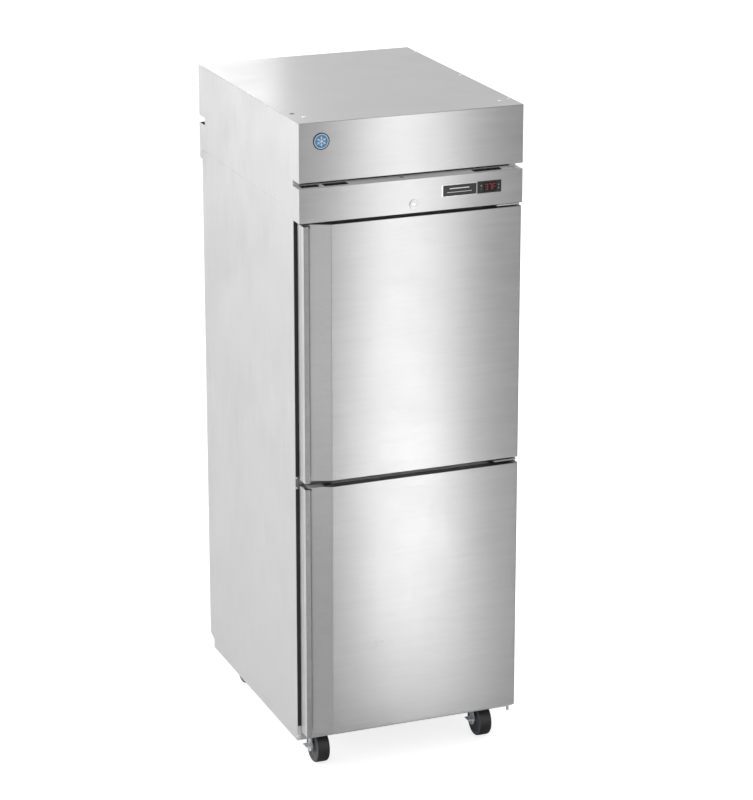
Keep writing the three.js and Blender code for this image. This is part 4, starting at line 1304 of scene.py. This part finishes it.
DECK = CABINET_TOP
SHELL = Vector((170 * MM, 60 * MM, DECK))
UP = Vector((0, 0, 1))
can = turned("compressor_can", [(r * MM, h * MM) for r, h in (
    (0, 16), (60, 16), (74, 22), (80, 34), (80, 96), (82, 97), (82, 103), (80, 104), (80, 118),
    (76, 140), (66, 162), (48, 178), (24, 186), (0, 188),
)], SHELL, UP)
foot = block("foot", SHELL + Vector((-95, -65, 6)) * MM, SHELL + Vector((95, 65, 9)) * MM)
ease(foot, 12 * MM, 4, lambda a, b: abs(a.z - b.z) > 2 * MM)
pieces = [can, foot]
for x in (-80, 80):
    for y in (-50, 50):
        corner = SHELL + Vector((x, y, 0)) * MM
        pieces.append(bar("grommet", corner + UP * 0.1 * MM, corner + UP * 14 * MM, 9 * MM))
cover_box = block("terminals", SHELL + Vector((60, -30, 60)) * MM, SHELL + Vector((92, 30, 120)) * MM)
pieces.append(ease(cover_box, 4 * MM, 3))
dress(fair(joined("compressor_unit", pieces)), black_enamel, "cabinet", "black_paint", "compressor")

low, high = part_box("condenser_coil")
fin_pack(
    "condenser_fins", low, high, 4 * MM,
    [(low.y + (18 if step % 2 else 42) * MM, low.z + (24 + 27 * step) * MM) for step in range(8)],
    "condenser_coil",
)
remade("condenser_fan_motor", "condenser_motor", [CUT], black_enamel, "black_paint", angle=50)
remade(
    "condenser_fan", "condenser_blades", [CUT], fin_stock, "aluminium", "condenser_fan", 50
)


def over_deck(*places):
    """Points in millimetres, with their heights above the cabinet's top panel."""
    return [Vector((x * MM, y * MM, DECK + z * MM)) for x, y, z in places]


lines = [
    wire("line", over_deck(
        (150, 60, 182), (150, 60, 205), (150, 20, 214), (140, -250, 214), (112, -318, 205),
        (97, -320, 200),
    ), 4 * MM),
    wire("line", over_deck(
        (97, -330, 24), (125, -318, 20), (135, -150, 16), (20, 120, 14), (0, 200, 14), (0, 230, 1),
    ), 3.2 * MM),
    wire("line", over_deck(
        (170, 130, 50), (170, 165, 45), (100, 220, 30), (30, 235, 16), (30, 240, 1),
    ), 5 * MM),
]
dress(fair(joined("refrigerant_lines", lines), 60), copper, "cabinet", "aluminium")

laid(
    "wiring_box",
    (250 * MM, -230 * MM, DECK + 0.1 * MM), (335 * MM, -90 * MM, DECK + 70 * MM),
    [(1.5 * MM, 3)], zinc_plate, "zinc_steel",
)
harness = wire("controller_harness", [
    (247 * MM, FACE + 37 * MM, 1776 * MM), (247 * MM, FACE + 48 * MM, 1776 * MM),
    (262 * MM, FACE + 70 * MM, 1790 * MM), (290 * MM, -270 * MM, 1790 * MM),
    (292 * MM, -228 * MM, 1788 * MM),
], 3.5 * MM)
dress(fair(harness, 60), black_moulding, "cabinet", "black_plastic")

# ---------------------------------------------------------------- casters
# Plated swivel forks on ball races are bolted under the floor pan. Each holds a wide moulded
# wheel with a dark tread on an axle bolt; the front two have a foot brake at their left.

fork_zinc = mottled("caster_zinc", (0.72, 0.74, 0.76), (0.86, 0.88, 0.90), 220, 0.42, 0.3, 0.08)
tyre = mottled(
    "wheel_tread", (0.010, 0.010, 0.011), (0.016, 0.016, 0.017), 600, 0.42, 0.0, 0.2, False, 30.0
)
# A mid grey for the moulded wheel core; the tyre's sidewalls take it too, as painted light from the lamp
# at the left.
wheel_core = mottled(
    "wheel_core", (0.085, 0.088, 0.092), (0.12, 0.123, 0.127), 400, 0.5, 0.0, 0.15, False, 30.0
)

CASTER_X = 268.5 * MM
WHEEL_RADIUS = 50.8 * MM
TRAIL = 38 * MM
PLATE_BOTTOM = 126 * MM
# Profiles as (radius, distance along the axle or up the post) in millimetres.
TREAD = (
    (37, -17.5), (38.2, -19.5), (44, -21), (47.2, -20.3), (49.6, -18.1), (50.8, -14.5), (50.8, 14.5),
    (49.6, 18.1), (47.2, 20.3), (44, 21), (38.2, 19.5), (37, 17.5), (37, -17.5),
)
CORE = (
    (6.8, -18), (14.5, -18), (16, -17), (18, -14.5), (33, -14), (35.5, -15), (37, -17.3),
    (37, 17.3), (35.5, 15), (33, 14), (18, 14.5), (16, 17), (14.5, 18), (6.8, 18), (6.8, -18),
)


RACE = (
    (18, 111.5), (25, 111.5), (27.5, 113), (28, 116), (27.5, 119), (25, 120.6), (18, 120.6),
    (18, 111.5),
)


def hexagon(name, start, end, across):
    nut = bar(name, start, end, across / math.sqrt(3), 6)
    ease(nut, 0.5 * MM, 1)
    return nut


for row, row_y in (("front", -322 * MM), ("rear", 332 * MM)):
    for side, sign in (("left", -1), ("right", 1)):
        corner = f"{row}_{side}"
        post = Vector((sign * CASTER_X, row_y, 0))
        axle = post + Vector((0, -TRAIL, WHEEL_RADIUS))
        fork = from_frame(f"caster_fork_{corner}", f"fork_{corner}")
        ease(fork, 0.7 * MM, 2, lambda a, b: True, 50)
        race = turned("race", [(r * MM, h * MM) for r, h in RACE], post, UP)
        nuts = []
        for end in (1, -1) if row == "rear" else (1,):
            reach = sorted((end * 25.9 * MM, end * 31.5 * MM))
            nuts.append(hexagon(
                "nut", axle + Vector((reach[0], 0, 0)), axle + Vector((reach[1], 0, 0)), 18 * MM
            ))
        whole = fair(joined(f"fork_{corner}", [fork, race] + nuts))
        dress(whole, fork_zinc, f"swivel_{corner}", "zinc_steel", f"caster_fork_{corner}")

        outline = [(r * MM, a * MM) for r, a in TREAD]
        tread = turned(f"wheel_tread_{corner}", outline, axle, (1, 0, 0), 64)
        fair(tread, 35)
        dress(tread, tyre, f"wheel_{corner}", "wheel_rubber", f"caster_wheel_{corner}")
        # The tyre's sidewalls take the lighter core grey: painted light where the left lamp falls on
        # them.
        repaint(tread, wheel_core, lambda m, n: abs(n.x) > 0.5)
        outline = [(r * MM, a * MM) for r, a in CORE]
        core = turned(f"wheel_core_{corner}", outline, axle, (1, 0, 0), 64)
        fair(core, 35)
        dress(core, wheel_core, f"wheel_{corner}", "wheel_rubber")

        if row == "front":
            remade(
                f"brake_pedal_{corner}", f"brake_{corner}", [(0.8 * MM, 2, lambda a, b: True, 50)],
                fork_zinc, "zinc_steel", f"brake_{corner}",
            )

        bolts = []
        for x in (-27, 27):
            for y in (-38, 38):
                spot = post + Vector((x * MM, y * MM, PLATE_BOTTOM))
                bolts.append(hexagon("bolt", spot - UP * 4 * MM, spot, 11 * MM))
        dress(fair(joined(f"caster_bolts_{corner}", bolts)), bright_screw, "cabinet", "zinc_steel")
